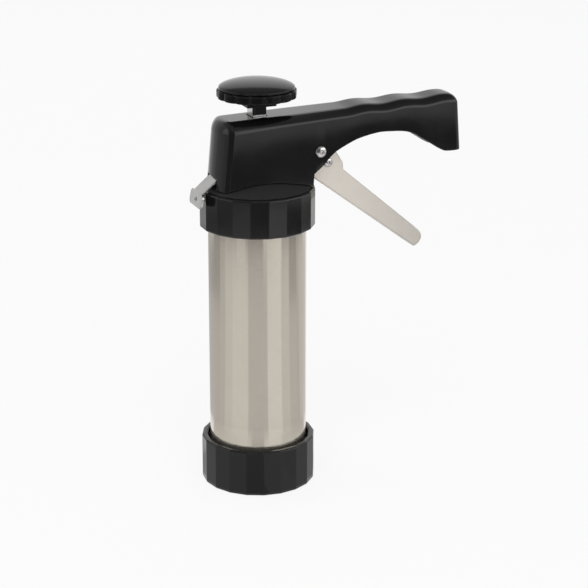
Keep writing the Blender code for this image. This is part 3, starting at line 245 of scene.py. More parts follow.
SKIRT_BOTTOM = KNOB_BOTTOM + KNOB_BOSS_HEIGHT
SKIRT_TOP = SKIRT_BOTTOM + KNOB_SKIRT_HEIGHT
WELL_FLOOR = KNOB_BOTTOM + ROD_SOCKET_DEPTH + KNOB_WEB
PIVOT = (PIVOT_REACH, PIVOT_Z)
RIVET = (PIVOT_REACH + RIVET_PLACE[0], PIVOT_Z + RIVET_PLACE[1])

# Finishes
PLASTIC = (0.0060, 0.0060, 0.0063)
PLASTIC_TONES = ((0.0050, 0.0050, 0.0053), (0.0072, 0.0071, 0.0074))
PLASTIC_WORN = (0.024, 0.024, 0.025)
WORN_ROUGHNESS = 0.34
MATT_ROUGHNESS = 0.55
MATT_LIFT = (0.013, 0.013, 0.013)
GRIP = (-0.022, 0.012)
GRIP_GLOSS = 0.15
WEAR_REACH = 0.0009
SHEET_WEAR_REACH = 0.0005
WEAR_TURN = 0.965
# Painted light: the barrel's colour is scaled up towards its foot, just above the ring, against the
# shade there.
FOOT_PAINTED_LIGHT = ((RING_HEIGHT, 1.42), (RING_HEIGHT + 0.012, 1.0))
# Painted light: the lever's colour is lighter towards its root and darker towards its tip.
LEVER_PAINTED_LIGHT = ((0.0, 1.26), (0.06, 0.93))
BRUSH_LINES = 5200

# Camera, placed from the barrel's axis
CAMERA_AZIMUTH = -22
CAMERA_PITCH = 0.3241
CAMERA_ROLL = 0.0021
CAMERA_PLACE = (-0.3445, -0.9044, 0.4287)
CAMERA_LENS = 117.6
CAMERA_SENSOR = 36

# Light. A lamp has a name, bearing, elevation, distance, size and radiance, and says whether
# reflections show it. Bearings are in degrees to the right of the camera.
LAMPS = (
    ("key", 0, 50, 1.5, (1.3, 1.0), 2.75, True),
    ("back", 180, 24, 1.6, (1.9, 0.9), 0.6, False),
    ("left", -100, 30, 1.6, (0.8, 0.8), 1.5, False),
)
LAMP_AIM = 0.15
WORLD_LIGHT = 0.50
STAGE_HALF = 4.0
STAGE_DROP = 0.0001
STAGE_TONE = 0.86
STAGE_SEEN = 0.86

# Cards that only reflections show. A row of swept cards has a profile of (distance, height)
# points, then the bearings between which the cards stand and a level for each.
CEILING = ((-1.6, -1.0), (1.6, 1.2))
CEILING_HEIGHT = 1.3
CEILING_LEVEL = 0.30
DARK_FLOOR = ((-0.05, -0.783), (1.2, -0.575))
DARK_FLOOR_LEVEL = 0.12
FOOT = 0.0005
CLOSE_FLOOR = ((0.032, FOOT), (0.10, FOOT))
LOWER_FLOOR = ((0.10, FOOT), (0.33, FOOT))
UPPER_FLOOR = ((0.33, FOOT), (0.49, FOOT))
INNER_FLOOR = ((0.10, FOOT), (0.49, FOOT))
OUTER_FLOOR = ((0.49, FOOT), (0.60, FOOT))
FAR_FLOOR = ((0.60, FOOT), (0.95, FOOT))
WALL = ((0.80, FOOT), (0.95, FOOT), (0.95, 0.9))
FRONT_DARK = ((0.97, 0.27), (0.97, 1.3))
FRONT_GLOW = ((0.93, 0.27), (0.89, 0.70))
SWEPT_CARDS = (
    (CLOSE_FLOOR, (-118, -12, 14, 50, 130), (0.60, 0.42, 0.66, 0.58)),
    (OUTER_FLOOR, (-118, -46, -26, 14), (0.25, 0.64, 0.17)),
    (OUTER_FLOOR, (58, 100, 130), (0.08, 0.28)),
    (FAR_FLOOR, (-95, -60, 18), (0.40, 0.14)),
    (INNER_FLOOR, (-170, -152), (0.55,)),
    (LOWER_FLOOR, (-152, -128, -94, -78), (0.62, 0.66, 0.70)),
    (UPPER_FLOOR, (-152, -128, -94, -78), (0.50, 0.46, 0.66)),
    (INNER_FLOOR, (-78, -58, -20, 23), (0.82, 0.90, 0.70)),
    (INNER_FLOOR, (56, 78), (0.80,)),
    (LOWER_FLOOR, (78, 102), (0.70,)),
    (UPPER_FLOOR, (78, 102), (0.50,)),
    (INNER_FLOOR, (102, 112, 150), (0.66, 0.76)),
    (WALL, (-152, -128, -112, -98, -86, -48), (0.70, 0.60, 0.50, 0.50, 0.42)),
    (WALL, (-48, 34, 60, 76, 112, 150), (0.12, 0.90, 0.80, 0.64, 0.78)),
    (FRONT_GLOW, (38, 100), (1.8,)),
    (FRONT_GLOW, (-94, -64), (1.1,)),
    (FRONT_DARK, (-45, 37), (0.15,)),
)

# How finely round forms are drawn here
FINE_SIDES = 144
MEDIUM_SIDES = 64
SMALL_SIDES = 40
ROUND_STEPS = 8
ARC_STATIONS = 22
FILLET_STATIONS = 10
HEAD_STATIONS = 12
FOOT_STATIONS = 6
HANDLE_STATIONS = 110
CROWN_STEPS = 10
CORNER_STEPS = 3
SPRING_POINTS_PER_TURN = 36
WIRE_SIDES = 14
EAR_STEPS = 24
TIP_STEPS = 4
SHOULDER_STEPS = 5
LIP_STEPS = 4
CONE_STEPS = 6
THREAD_STEPS = 8
LOBE_STEPS = 24
CAP_STEPS = 40
CARD_STEPS = 12


# Objects


def object_from(bm, name="solid"):
    bmesh.ops.remove_doubles(bm, verts=bm.verts, dist=MERGE_DISTANCE)
    bmesh.ops.recalc_face_normals(bm, faces=bm.faces)
    mesh = bpy.data.meshes.new(name)
    bm.to_mesh(mesh)
    bm.free()
    obj = bpy.data.objects.new(name, mesh)
    bpy.context.scene.collection.objects.link(obj)
    return obj


def apply_modifiers(obj):
    graph = bpy.context.evaluated_depsgraph_get()
    shaped = bpy.data.meshes.new_from_object(obj.evaluated_get(graph), depsgraph=graph)
    obj.modifiers.clear()
    obj.data = shaped
    return obj


def combine(target, tool, operation):
    modifier = target.modifiers.new(operation.lower(), "BOOLEAN")
    modifier.operation = operation
    modifier.solver = "EXACT"
    modifier.object = tool
    apply_modifiers(target)
    bpy.data.objects.remove(tool)
    return target


def cut(target, *tools):
    for tool in tools:
        combine(target, tool, "DIFFERENCE")
    return target


def join(target, *tools):
    for tool in tools:
        combine(target, tool, "UNION")
    return target


def soften(obj, width):
    """Rounds every sharp edge a little, so that it catches the light."""
    modifier = obj.modifiers.new("soften", "BEVEL")
    modifier.width = width
    modifier.segments = 2
    modifier.limit_method = "ANGLE"
    modifier.angle_limit = BEVEL_ANGLE
    return apply_modifiers(obj)


# Outlines and curves


def arc(centre, radius, start, turn, steps=ROUND_STEPS):
    """Points along an arc, with both its ends."""
    angles = [start + turn * i / steps for i in range(steps + 1)]
    return [(centre[0] + radius * cos(a), centre[1] + radius * sin(a)) for a in angles]


def circle_outline(radius, sides, centre=(0, 0)):
    return arc(centre, radius, 0, tau, sides)[:-1]


def rectangle_outline(low, high):
    return [(low[0], low[1]), (high[0], low[1]), (high[0], high[1]), (low[0], high[1])]


def rounded_rectangle(low, high, radius):
    centres = rectangle_outline([v + radius for v in low], [v - radius for v in high])
    outline = []
    for i, centre in enumerate(centres[1:] + centres[:1]):
        outline += arc(centre, radius, pi / 2 * (i - 1), pi / 2)
    return outline


def square_outline(side, corner=0):
    low, high = (-side / 2, -side / 2), (side / 2, side / 2)
    return rounded_rectangle(low, high, corner) if corner else rectangle_outline(low, high)


def rounded_polygon(radius, count, turn, corner):
    """A polygon whose corners are short arcs."""
    half_angle = pi / count
    reach = radius - corner / cos(half_angle)
    points = []
    for k in range(count):
        middle = turn + tau * k / count
        centre = (reach * cos(middle), reach * sin(middle))
        points += arc(centre, corner, middle - half_angle, 2 * half_angle, CORNER_STEPS)
    return points


def cubic(start, end, slope_in, slope_out, t):
    """A smooth way from start to end, with these slopes at its two ends."""
    rise = 3 * (end - start) - 2 * slope_in - slope_out
    bend = 2 * (start - end) + slope_in + slope_out
    return start + slope_in * t + rise * t**2 + bend * t**3


def curve_through(points, x):
    """The height at x of a smooth curve through the points, whose x values rise."""
    i = sum(p[0] <= x for p in points[1:-1])
    last = len(points) - 1
    before, start, end, after = (points[max(0, min(last, i + k))] for k in (-1, 0, 1, 2))
    span = end[0] - start[0]
    slope_in = (end[1] - before[1]) / (end[0] - before[0]) * span
    slope_out = (after[1] - start[1]) / (after[0] - start[0]) * span
    return cubic(start[1], end[1], slope_in, slope_out, (x - start[0]) / span)


def spline_points(points, steps):
    """More points along a smooth curve through these, both ends kept."""
    places = [Vector(p) for p in points]
    found = []
    for i in range(len(places) - 1):
        before, start = places[max(i - 1, 0)], places[i]
        end, after = places[i + 1], places[min(i + 2, len(places) - 1)]
        slopes = (end - before) / 2, (after - start) / 2
        found += [tuple(cubic(start, end, *slopes, k / steps)) for k in range(steps)]
    return [*found, tuple(places[-1])]


def dome_profile(radius, height, base):
    return [(radius * x, base + height * y) for x, y in arc((0, 0), 1, 0, pi / 2)]


def roll(flatness, fullness, steps):
    """(reach, rise) pairs from (1, 0) to (0, 1) round a squared quarter of a circle."""
    turns = arc((0, 0), 1, 0, pi / 2, steps)[:-1]
    return [(c ** (2 / flatness), s ** (2 / fullness)) for c, s in turns] + [(0, 1)]


def rounded_side(bottom, top, edge):
    """(inset, height) pairs up a side whose two edges are rounded."""
    turns = arc((0, 0), 1, 0, pi / 2)
    lower = [(edge * (1 - s), bottom + edge * (1 - c)) for c, s in turns]
    return lower + [(edge * (1 - c), top - edge * (1 - s)) for c, s in turns]


# Solids


def extruded(points, shift):
    bm = bmesh.new()
    face = bm.faces.new([bm.verts.new(point) for point in points])
    carried = bmesh.ops.extrude_face_region(bm, geom=[face])["geom"]
    moved = [v for v in carried if isinstance(v, bmesh.types.BMVert)]
    bmesh.ops.translate(bm, verts=moved, vec=shift)
    return object_from(bm)


def prism(outline, bottom, top):
    return extruded([(x, y, bottom) for x, y in outline], (0, 0, top - bottom))


def cross_prism(outline, half_width):
    return extruded([(x, -half_width, z) for x, z in outline], (0, 2 * half_width, 0))


def block(low, high):
    return prism(rectangle_outline(low[:2], high[:2]), low[2], high[2])


def cylinder(radius, bottom, top, sides=MEDIUM_SIDES, centre=(0, 0)):
    return prism(circle_outline(radius, sides, centre), bottom, top)


def cross_cylinder(radius, half_width, centre):
    return cross_prism(circle_outline(radius, SMALL_SIDES, centre), half_width)


def turned(profile, sides):
    """A closed profile of (radius, height) points, spun about Z."""
    bm = bmesh.new()
    ring = [bm.verts.new((r, 0, z)) for r, z in profile]
    edges = [bm.edges.new(pair) for pair in zip(ring, ring[1:] + ring[:1], strict=True)]
    around = {"axis": (0, 0, 1), "cent": (0, 0, 0), "angle": tau, "steps": sides}
    bmesh.ops.spin(bm, geom=ring + edges, use_merge=True, **around)
    return object_from(bm)


def bridge(bm, first, second):
    count = len(first)
    for i in range(count):
        j = (i + 1) % count
        bm.faces.new((first[i], first[j], second[j], second[i]))


def lofted(rows, closed=False):
    """Rows of points, bridged one to the next; the ends are joined to each other or filled."""
    bm = bmesh.new()
    loops = [[bm.verts.new(point) for point in row] for row in rows]
    for lower, upper in pairwise(loops):
        bridge(bm, lower, upper)
    if closed:
        bridge(bm, loops[-1], loops[0])
    else:
        bm.faces.new(loops[0])
        bm.faces.new(loops[-1])
    return object_from(bm)


def coil(radius, wire, turns, bottom, top):
    """A spring of round wire."""
    section = circle_outline(wire / 2, WIRE_SIDES, (radius, 0))
    count = turns * SPRING_POINTS_PER_TURN
    rows = []
    for i in range(count + 1):
        angle = tau * i / SPRING_POINTS_PER_TURN
        height = bottom + wire / 2 + (top - bottom - wire) * i / count
        rows.append([(r * cos(angle), r * sin(angle), height + z) for r, z in section])
    return lofted(rows)


def moved(obj, *steps):
    for step in steps:
        obj.data.transform(step)
    return obj


def tilted(angle):
    return Matrix.Rotation(angle, 4, "Y")


def shifted(x, y, z):
    return Matrix.Translation((x, y, z))


# Surfaces of the head


def dome_height(radius):
    share = (RING_RADIUS - radius) / (RING_RADIUS - COLLAR_EYE_RADIUS)
    return COLLAR_TOP + COLLAR_DOME_RISE * share


def crown_height(x):
    height = HEAD_TOP + HEAD_SLOPE * x
    if x > WAVE_START:
        height += WAVE_HEIGHT * (1 - cos(tau * (x - WAVE_START) / WAVE_LENGTH)) / 2
    return height


def crown_drop(x):
    share = (x + REAR_RADIUS_TOP) / (HANDLE_REACH_TOP + REAR_RADIUS_TOP)
    return CROWN_DROP + (CROWN_REAR_DROP - CROWN_DROP) * max(0, 1 - share) ** DROP_POWER


def arch_height(x):
    share = (x - ARCH_FOOT) / (ARCH_HOOK - ARCH_FOOT)
    return COLLAR_TOP + ARCH_HOOK_HEIGHT + ARCH_RISE * curve_through(ARCH_SHARES, share)


def rim_height(x, y):
    if x < ARCH_FOOT:
        return dome_height(hypot(x, y)) + GAP
    return arch_height(x)


def taper(x, start, end):
    share = max(0, x) / HANDLE_REACH_TOP
    return start - (start - end) * share**TAPER_POWER


def side_stations(rear, front):
    reach = HANDLE_REACH_TOP - END_FILLET
    start = -sqrt((REAR_RADIUS_TOP - REAR_FILLET) ** 2 - (HEAD_HALF_WIDTH - REAR_FILLET) ** 2)
    foot_end = ARCH_FOOT + FOOT_LENGTH
    places = [start + (ARCH_FOOT - start) * i / HEAD_STATIONS for i in range(1, HEAD_STATIONS)]
    places.append(ARCH_FOOT - FOOT_FACE)
    places += [ARCH_FOOT + FOOT_LENGTH * i / FOOT_STATIONS for i in range(FOOT_STATIONS)]
    places += [
        foot_end + (reach - foot_end) * i / HANDLE_STATIONS for i in range(HANDLE_STATIONS + 1)
    ]
    return [rear + (front - rear) * (x - start) / (reach - start) for x in places]


def rear_plan(rear_radius, half_width, fillet):
    """Points round the rear of the moulding, and the x where its side starts."""
    centre_y = half_width - fillet
    centre_x = sqrt((rear_radius - fillet) ** 2 - centre_y**2)
    turn = atan2(centre_y, centre_x)
    points = arc((0, 0), -rear_radius, 0, turn, ARC_STATIONS)
    points += arc((-centre_x, -centre_y), -fillet, turn, pi / 2 - turn, FILLET_STATIONS)[1:]
    return points, -centre_x


def half_plan(sizes, inset, fillet_inset):
    """The near half of a plan of the moulding, from its rear to its end."""
    rear_radius, half_width, end_half_width, reach = (size - inset for size in sizes[:4])
    fillet, end_fillet = (size - fillet_inset for size in sizes[4:])
    points, side_start = rear_plan(rear_radius, half_width, fillet)
    for x in side_stations(side_start, reach - end_fillet):
        points.append((x, -taper(x, half_width, end_half_width)))
    end_half = -points[-1][1]
    centre = (reach - end_fillet, end_fillet - end_half)
    points += arc(centre, end_fillet, -pi / 2, pi / 2, FILLET_STATIONS)[1:]
    return [*points, (reach + END_BOW, 0)]


def moulding_plans(inset):
    """Half plans of the moulding at its shoulder, at its foot and round its crown."""
    fillets = (REAR_FILLET, END_FILLET)
    widths = (HEAD_HALF_WIDTH, HANDLE_HALF_WIDTH)
    upper = (REAR_RADIUS_TOP, *widths, HANDLE_REACH_TOP, *fillets)
    lower_widths = [width + SIDE_DRAFT for width in widths]
    lower = (REAR_RADIUS_BOTTOM, *lower_widths, HANDLE_REACH_BOTTOM, *fillets)
    crown_widths = (CROWN_HALF_WIDTH, CROWN_END_HALF_WIDTH)
    crown = (CROWN_REAR, *crown_widths, CROWN_REACH, CROWN_FILLET, CROWN_FILLET)
    half = inset / 2
    return half_plan(upper, inset, half), half_plan(lower, inset, half), half_plan(crown, half, 0)


def rim_row(inset, lift):
    """Points of a wall surface at its lower rim, or a little above it."""
    upper, lower, _ = moulding_plans(inset)
    rim = []
    for (ux, uy), (lx, ly) in zip(upper, lower, strict=True):
        shoulder = crown_height(ux) - inset - crown_drop(ux)
        x, y = ux, uy
        for _ in range(3):
            height = rim_height(x, y) + lift
            share = (shoulder - height) / (shoulder - COLLAR_TOP)
            x, y = ux + (lx - ux) * share, uy + (ly - uy) * share
        rim.append((x, y, rim_height(x, y) + lift))
    return rim


def crown_rows(inset):
    upper, _, crown = moulding_plans(inset)
    rows = []
    for out, rise in roll(CROWN_FLATNESS, CROWN_FULLNESS, CROWN_STEPS):
        row = []
        for (ux, uy), (cx, cy) in zip(upper, crown, strict=True):
            x, y = cx + (ux - cx) * out, cy + (uy - cy) * out
            row.append((x, y, crown_height(x) - inset - crown_drop(ux) * (1 - rise)))
        rows.append(row)
    return rows


def mirrored_loop(bm, half):
    near = [bm.verts.new(point) for point in half]
    far = [bm.verts.new((x, -y, z)) for x, y, z in half[1:-1]]
    return near + far[::-1]


def ladder(bm, loop):
    half = len(loop) // 2
    for i in range(half):
        near_start, near_end = loop[i], loop[i + 1]
        far_start, far_end = loop[-i % len(loop)], loop[-i - 1]
        corners = [near_start, near_end, far_end, far_start]
        bm.faces.new(list(dict.fromkeys(corners)))


def moulding_shell():
    """The hollow moulding, with its lower rim rounded on the outside."""
    bm = bmesh.new()
    part = RIM_ROUND * RIM_SHARE
    outer = [rim_row(RIM_ROUND, 0), rim_row(part, part), rim_row(0, RIM_ROUND), *crown_rows(0)]
    inner = [rim_row(HEAD_WALL, 0), *crown_rows(HEAD_WALL)]
    first_loops = []
    for rows in (outer, inner):
        loops = [mirrored_loop(bm, row) for row in rows]
        for lower, upper in pairwise(loops):
            bridge(bm, lower, upper)
        ladder(bm, loops[-1])
        first_loops.append(loops[0])
    bridge(bm, *first_loops)
    return object_from(bm)


def head_floor():
    half, _ = rear_plan(REAR_RADIUS_BOTTOM - EMBED * 2, HEAD_HALF_WIDTH - EMBED, REAR_FILLET)
    half.append((FLOOR_REACH, half[-1][1]))
    outline = half + [(x, -y) for x, y in reversed(half[1:])]
    floor = prism(outline, COLLAR_TOP, FLOOR_TOP)
    outer = RING_RADIUS + OVERRUN
    above = [(r, dome_height(r) + 2 * GAP) for r in (outer, 0)]
    cut(floor, turned([(0, BASE_PLATE_BOTTOM), (outer, BASE_PLATE_BOTTOM), *above], FINE_SIDES))
    spigot = cylinder(SPIGOT_RADIUS, BASE_PLATE_TOP + GAP, FLOOR_TOP - GAP, FINE_SIDES)
    return join(floor, spigot)


def seat_rib(side):
    low, high = sorted((side * RIB_INNER, side * (HEAD_HALF_WIDTH - HEAD_WALL + EMBED)))
    bottom, top = FLOOR_TOP - EMBED, SEAT_BOTTOM - GAP
    return block((-SEAT_HALF_LENGTH, low, bottom), (SEAT_HALF_LENGTH, high, top))


def release_notch():
    top = COLLAR_TOP + SLOT_HEIGHT
    return block((PAST_REAR, -SLOT_HALF_WIDTH, COLLAR_TOP), (NOTCH_FRONT, SLOT_HALF_WIDTH, top))


def release_trough():
    bottom = CATCH_Z - CATCH_THICKNESS / 2 - GAP
    top = FLOOR_TOP + OVERRUN
    front = CATCH_FULCRUM + CATCH_FRONT + GAP
    outline = [
        (PAST_REAR, COLLAR_TOP),
        (NOTCH_FRONT, COLLAR_TOP),
        (NOTCH_FRONT, bottom),
        (front, bottom),
        (front, top),
        (PAST_REAR, top),
    ]
    return cross_prism(outline, SLOT_HALF_WIDTH - GAP)


def head_moulding():
    rod_way = square_outline(ROD_SIDE + 2 * SLIDING_GAP)
    return cut(
        moulding_shell(),
        release_notch(),
        prism(rod_way, HEAD_TOP - CROWN_DROP - HEAD_WALL, HEAD_TOP + OVERRUN),
        cross_cylinder(PIVOT_PIN_RADIUS + GAP, HEAD_HALF_WIDTH + OVERRUN, PIVOT),
    )


def head_inside():
    """The head's floor with its spigot and the ribs that carry the spring seat."""
    bore = cylinder(SPIGOT_BORE_RADIUS, BASE_PLATE_BOTTOM, FLOOR_TOP + OVERRUN)
    floor = cut(join(head_floor(), seat_rib(-1), seat_rib(1)), bore, release_trough())
    pilot_top = BASE_PLATE_BOTTOM + BASE_SCREW_LENGTH + GAP
    radius = BASE_SCREW_RADIUS + GAP
    for centre in circle_outline(BASE_SCREW_CIRCLE, BASE_SCREWS):
        cut(floor, cylinder(radius, BASE_PLATE_BOTTOM, pilot_top, SMALL_SIDES, centre))
    return floor


# Rings and barrel


def facet_row(inset, height, turn):
    corner = max(FACET_CORNER - inset, FACET_CORNER / 4)
    outline = rounded_polygon(RING_RADIUS - inset / cos(pi / FACETS), FACETS, turn, corner)
    return [(x, y, height) for x, y in outline]


def round_row(radius, height, turn):
    """A circle with as many points as a facet row, at the same angles."""
    angles = [atan2(y, x) for x, y, _ in facet_row(0, 0, turn)]
    return [(radius * cos(a), radius * sin(a), height) for a in angles]


def faceted(bottom, top, turn, inside):
    """A faceted ring round the (radius, height) points of its inside."""
    rows = [facet_row(inset, z, turn) for inset, z in rounded_side(bottom, top, RING_EDGE)]
    return lofted(rows + [round_row(r, z, turn) for r, z in inside], closed=True)


def bottom_ring():
    outlet, mouth = OUTLET_RADIUS, MOUTH_RADIUS
    inside = [
        *arc((mouth, RING_HEIGHT), RING_EDGE / 2, 0, -pi / 2, LIP_STEPS),
        (mouth, RING_HEIGHT - THREAD_LEAD + mouth - BORE_RADIUS),
        (BORE_RADIUS, RING_HEIGHT - THREAD_LEAD),
        (BORE_RADIUS, RING_FLOOR),
        (outlet, RING_FLOOR),
        (outlet, OUTLET_CHAMFER),
        (outlet + OUTLET_CHAMFER, 0),
    ]
    return faceted(0, RING_HEIGHT, RING_TURN, inside)


def collar():
    outer, eye = RING_RADIUS - RING_EDGE, COLLAR_EYE_RADIUS
    cone = [outer + (eye - outer) * i / CONE_STEPS for i in range(1, CONE_STEPS + 1)]
    inside = [(radius, dome_height(radius)) for radius in cone]
    inside += [
        (eye, LIP_BOTTOM),
        (BORE_RADIUS, LIP_BOTTOM),
        (BORE_RADIUS, COLLAR_BOTTOM + RING_EDGE),
        (BORE_RADIUS + RING_EDGE / 2, COLLAR_BOTTOM),
    ]
    return faceted(COLLAR_BOTTOM, COLLAR_TOP, COLLAR_TURN, inside)


def thread_profile(start):
    """The rolled thread's ridges, each a smooth swell."""
    points = []
    for i in range(THREAD_COUNT):
        for share in (k / THREAD_STEPS for k in range(THREAD_STEPS + 1)):
            swell = THREAD_HEIGHT * sin(pi * share) ** THREAD_FULLNESS
            height = start + THREAD_PITCH * i + THREAD_WIDTH * share
            points.append((BARREL_RADIUS + swell, height))
    return points


def barrel():
    inner = BARREL_RADIUS - BARREL_WALL
    upper_thread = BARREL_TOP - THREAD_LEAD - THREAD_PITCH * (THREAD_COUNT - 1)
    edge = BARREL_WALL / 4
    profile = [(inner, BARREL_BOTTOM + edge), (inner + edge, BARREL_BOTTOM)]
    profile += [(BARREL_RADIUS - edge, BARREL_BOTTOM), (BARREL_RADIUS, BARREL_BOTTOM + edge)]
    profile += thread_profile(BARREL_BOTTOM + THREAD_LEAD)
    profile += thread_profile(upper_thread)
    profile += [(BARREL_RADIUS, BARREL_TOP - edge), (BARREL_RADIUS - edge, BARREL_TOP)]
    profile += [(inner + edge, BARREL_TOP), (inner, BARREL_TOP - edge)]
    return turned(profile, FINE_SIDES)


# Knob and rod


def lobed_row(radius, height):
    count = KNOB_LOBES * LOBE_STEPS
    row = []
    for i in range(count):
        angle = tau * i / count
        swell = abs(sin(KNOB_LOBES * angle / 2)) ** LOBE_POWER
        reach = radius - KNOB_LOBE_DEPTH * (1 - swell)
        row.append((reach * cos(angle), reach * sin(angle), height))
    return row


def knob():
    side = rounded_side(SKIRT_BOTTOM, SKIRT_TOP - SKIRT_DROP, KNOB_EDGE)
    body = lofted([lobed_row(KNOB_RADIUS - inset, z) for inset, z in side])
    boss = square_outline(KNOB_BOSS_SIDE, ROD_CORNER)
    join(body, prism(boss, KNOB_BOTTOM, SKIRT_BOTTOM + EMBED))
    socket = square_outline(ROD_SIDE + 2 * GAP)
    return cut(
        body,
        prism(socket, KNOB_BOTTOM - OVERRUN, KNOB_BOTTOM + ROD_SOCKET_DEPTH),
        cylinder(KNOB_SCREW_RADIUS + GAP, KNOB_BOTTOM, SKIRT_TOP + OVERRUN, SMALL_SIDES),
        cylinder(KNOB_WELL_RADIUS, WELL_FLOOR, SKIRT_TOP + OVERRUN),
    )


def knob_cap():
    """The press-on cap: an upright side that rounds over into a shallow dome."""
    bottom = SKIRT_TOP - SKIRT_DROP + GAP
    shoulder = bottom + CAP_SIDE
    profile = [(0, bottom), (CAP_RADIUS - GAP, bottom), (CAP_RADIUS, bottom + GAP)]
    for reach, rise in roll(CAP_FLATNESS, CAP_FULLNESS, CAP_STEPS):
        profile.append((CAP_RADIUS * reach, shoulder + (TOTAL_HEIGHT - shoulder) * rise))
    return turned(profile, FINE_SIDES)


def push_rod():
    rod = prism(square_outline(ROD_SIDE, ROD_CORNER), ROD_BOTTOM, ROD_TOP)
    join(rod, cylinder(STUD_RADIUS, ROD_BOTTOM - STUD_LENGTH, ROD_BOTTOM + EMBED, SMALL_SIDES))
    bottom = WELL_FLOOR - KNOB_SCREW_LENGTH
    return cut(rod, cylinder(KNOB_SCREW_RADIUS + GAP, bottom, ROD_TOP + OVERRUN, SMALL_SIDES))


# Release plate


def bend_arc(corner, before, after, radius, side):
    """Points round a bend of a path at its corner, offset to one side of the sheet's middle."""
    corner = Vector(corner)
    a, b = ((Vector(end) - corner).normalized() for end in (before, after))
    half = a.angle(b) / 2
    centre = corner + (a + b).normalized() * (radius / sin(half))
    start, end = (corner + ray * (radius / tan(half)) - centre for ray in (a, b))
    shares = [i / ROUND_STEPS for i in range(ROUND_STEPS + 1)]
    rays = [(start * (1 - t) + end * t).normalized() for t in shares]
    return [tuple(centre + ray * (radius + side)) for ray in rays]


def punched(profile, radius, depth=PUNCH_DEPTH):
    """A turned profile that ends in a small punch mark at its centre."""
    kept = [(r, z) for r, z in profile if r > radius]
    return kept + [(radius * share, kept[-1][1] - depth * down) for share, down in PUNCH_SHARES]


def thumb_tab():
    half = CATCH_THICKNESS / 2
    low, high = (-TAB_HALF_WIDTH, -TAB_HEIGHT), (TAB_HALF_WIDTH, TAB_RISE)
    outline = rounded_rectangle(low, high, TAB_CORNER)
    radius = TAB_DIMPLE_RADIUS
    profile = [(0, half - EMBED), (radius, half - EMBED)]
    profile += punched(dome_profile(radius, radius / 2, half), radius / 2)
    dimple = moved(turned(profile, SMALL_SIDES), shifted(0, -TAB_HEIGHT / 2, 0))
    upright = Matrix(((0, 0, -1, 0), (1, 0, 0, 0), (0, 1, 0, 0), (0, 0, 0, 1)))
    return moved(join(prism(outline, -half, half), dimple), upright)


def release_plate():
    half = CATCH_THICKNESS / 2
    front = CATCH_FULCRUM + CATCH_FRONT
    down = (cos(CATCH_SLOPE), sin(CATCH_SLOPE))
    bend = (-CATCH_BEND, 0)
    knee = (bend[0] - CATCH_NECK * down[0], -CATCH_NECK * down[1])
    outer, inner = (
        bend_arc(bend, (front, 0), knee, 2 * CATCH_THICKNESS, side) for side in (half, -half)
    )
    ends = [(knee[0] + side * down[1], knee[1] + side * down[0]) for side in (half, -half)]
    outline = [(front, -half), (front, half), *outer, *ends, *inner[::-1]]
    plate = cross_prism(outline, CATCH_HALF_WIDTH)
    join(plate, moved(thumb_tab(), tilted(TAB_LEAN), shifted(knee[0], 0, knee[1])))
    cut(plate, prism(square_outline(ROD_SIDE + 2 * SLIDING_GAP), -OVERRUN, OVERRUN))
    soften(plate, CATCH_THICKNESS / 8)
    back, forth = shifted(-CATCH_FULCRUM, 0, 0), shifted(CATCH_FULCRUM, 0, CATCH_Z)
    return moved(plate, back, tilted(CATCH_TILT), forth)


# Lever


def lever_point(along, height):
    c, s = cos(LEVER_ANGLE), sin(LEVER_ANGLE)
    x = PIVOT_REACH + LEVER_HEEL[0] + along * c + height * s
    return (x, PIVOT_Z + LEVER_HEEL[1] - along * s + height * c)


def tip_points(inset=0):
    """The round of the lever's tip as (along, height) pairs, from its lower edge."""
    shares = spline_points(TIP_SHARES, TIP_STEPS)
    return [(LEVER_LENGTH * a - inset, LEVER_TIP_HEIGHT * h) for a, h in shares]


def lower_edge():
    return [lever_point(0, 0)] + [lever_point(a, h) for a, h in tip_points()]


def lever_outline():
    upper, heel = (
        [lever_point(LEVER_LENGTH * a, LEVER_ROOT_HEIGHT * h) for a, h in shares]
        for shares in (spline_points(SHOULDER_SHARES, SHOULDER_STEPS), HEEL_SHARES)
    )
    ear = arc(PIVOT, EAR_RADIUS, EAR_START, EAR_END - EAR_START, EAR_STEPS)
    return lower_edge() + upper + ear + heel


def round_lower_edges(body):
    bm = bmesh.new()
    bm.from_mesh(body.data)
    marks = [Vector((x, 0, z)) for x, z in lower_edge()]

    def on_chain(vert):
        flat = Vector((vert.co.x, 0, vert.co.z))
        return any((flat - mark).length < GAP / 4 for mark in marks)

    def lengthwise(edge):
        first, second = edge.verts
        return on_chain(first) and on_chain(second) and abs(first.co.y - second.co.y) < GAP

    edges = [edge for edge in bm.edges if lengthwise(edge)]
    bmesh.ops.bevel(bm, geom=edges, offset=LEVER_BEND, segments=6, profile=0.5, affect="EDGES")
    bm.to_mesh(body.data)
    bm.free()


def lever():
    body = cross_prism(lever_outline(), LEVER_HALF_WIDTH)
    round_lower_edges(body)
    wall = LEVER_THICKNESS
    inside = [(-LEVER_LENGTH, wall)]
    inside += [(a, max(wall, h)) for a, h in tip_points(wall)[:-1]]
    inside.append((LEVER_LENGTH - wall - LEVER_TIP_CORNER, LEVER_LENGTH))
    inside.append((-LEVER_LENGTH, LEVER_LENGTH))
    channel = [lever_point(a, h) for a, h in dict.fromkeys(inside)]
    past = LEVER_HALF_WIDTH + OVERRUN
    cut(
        body,
        cross_prism(channel, LEVER_HALF_WIDTH - wall),
        cross_cylinder(PIVOT_PIN_RADIUS + GAP, past, PIVOT),
        cross_cylinder(RIVET_RADIUS + GAP, past, RIVET),
    )
    return soften(body, LEVER_THICKNESS / 6)


def across(profile, place):
    """A profile turned about a line across the press, through a place in its middle plane."""
    upright = turned(profile, SMALL_SIDES)
    return moved(upright, Matrix.Rotation(pi / 2, 4, "X"), shifted(place[0], 0, place[1]))


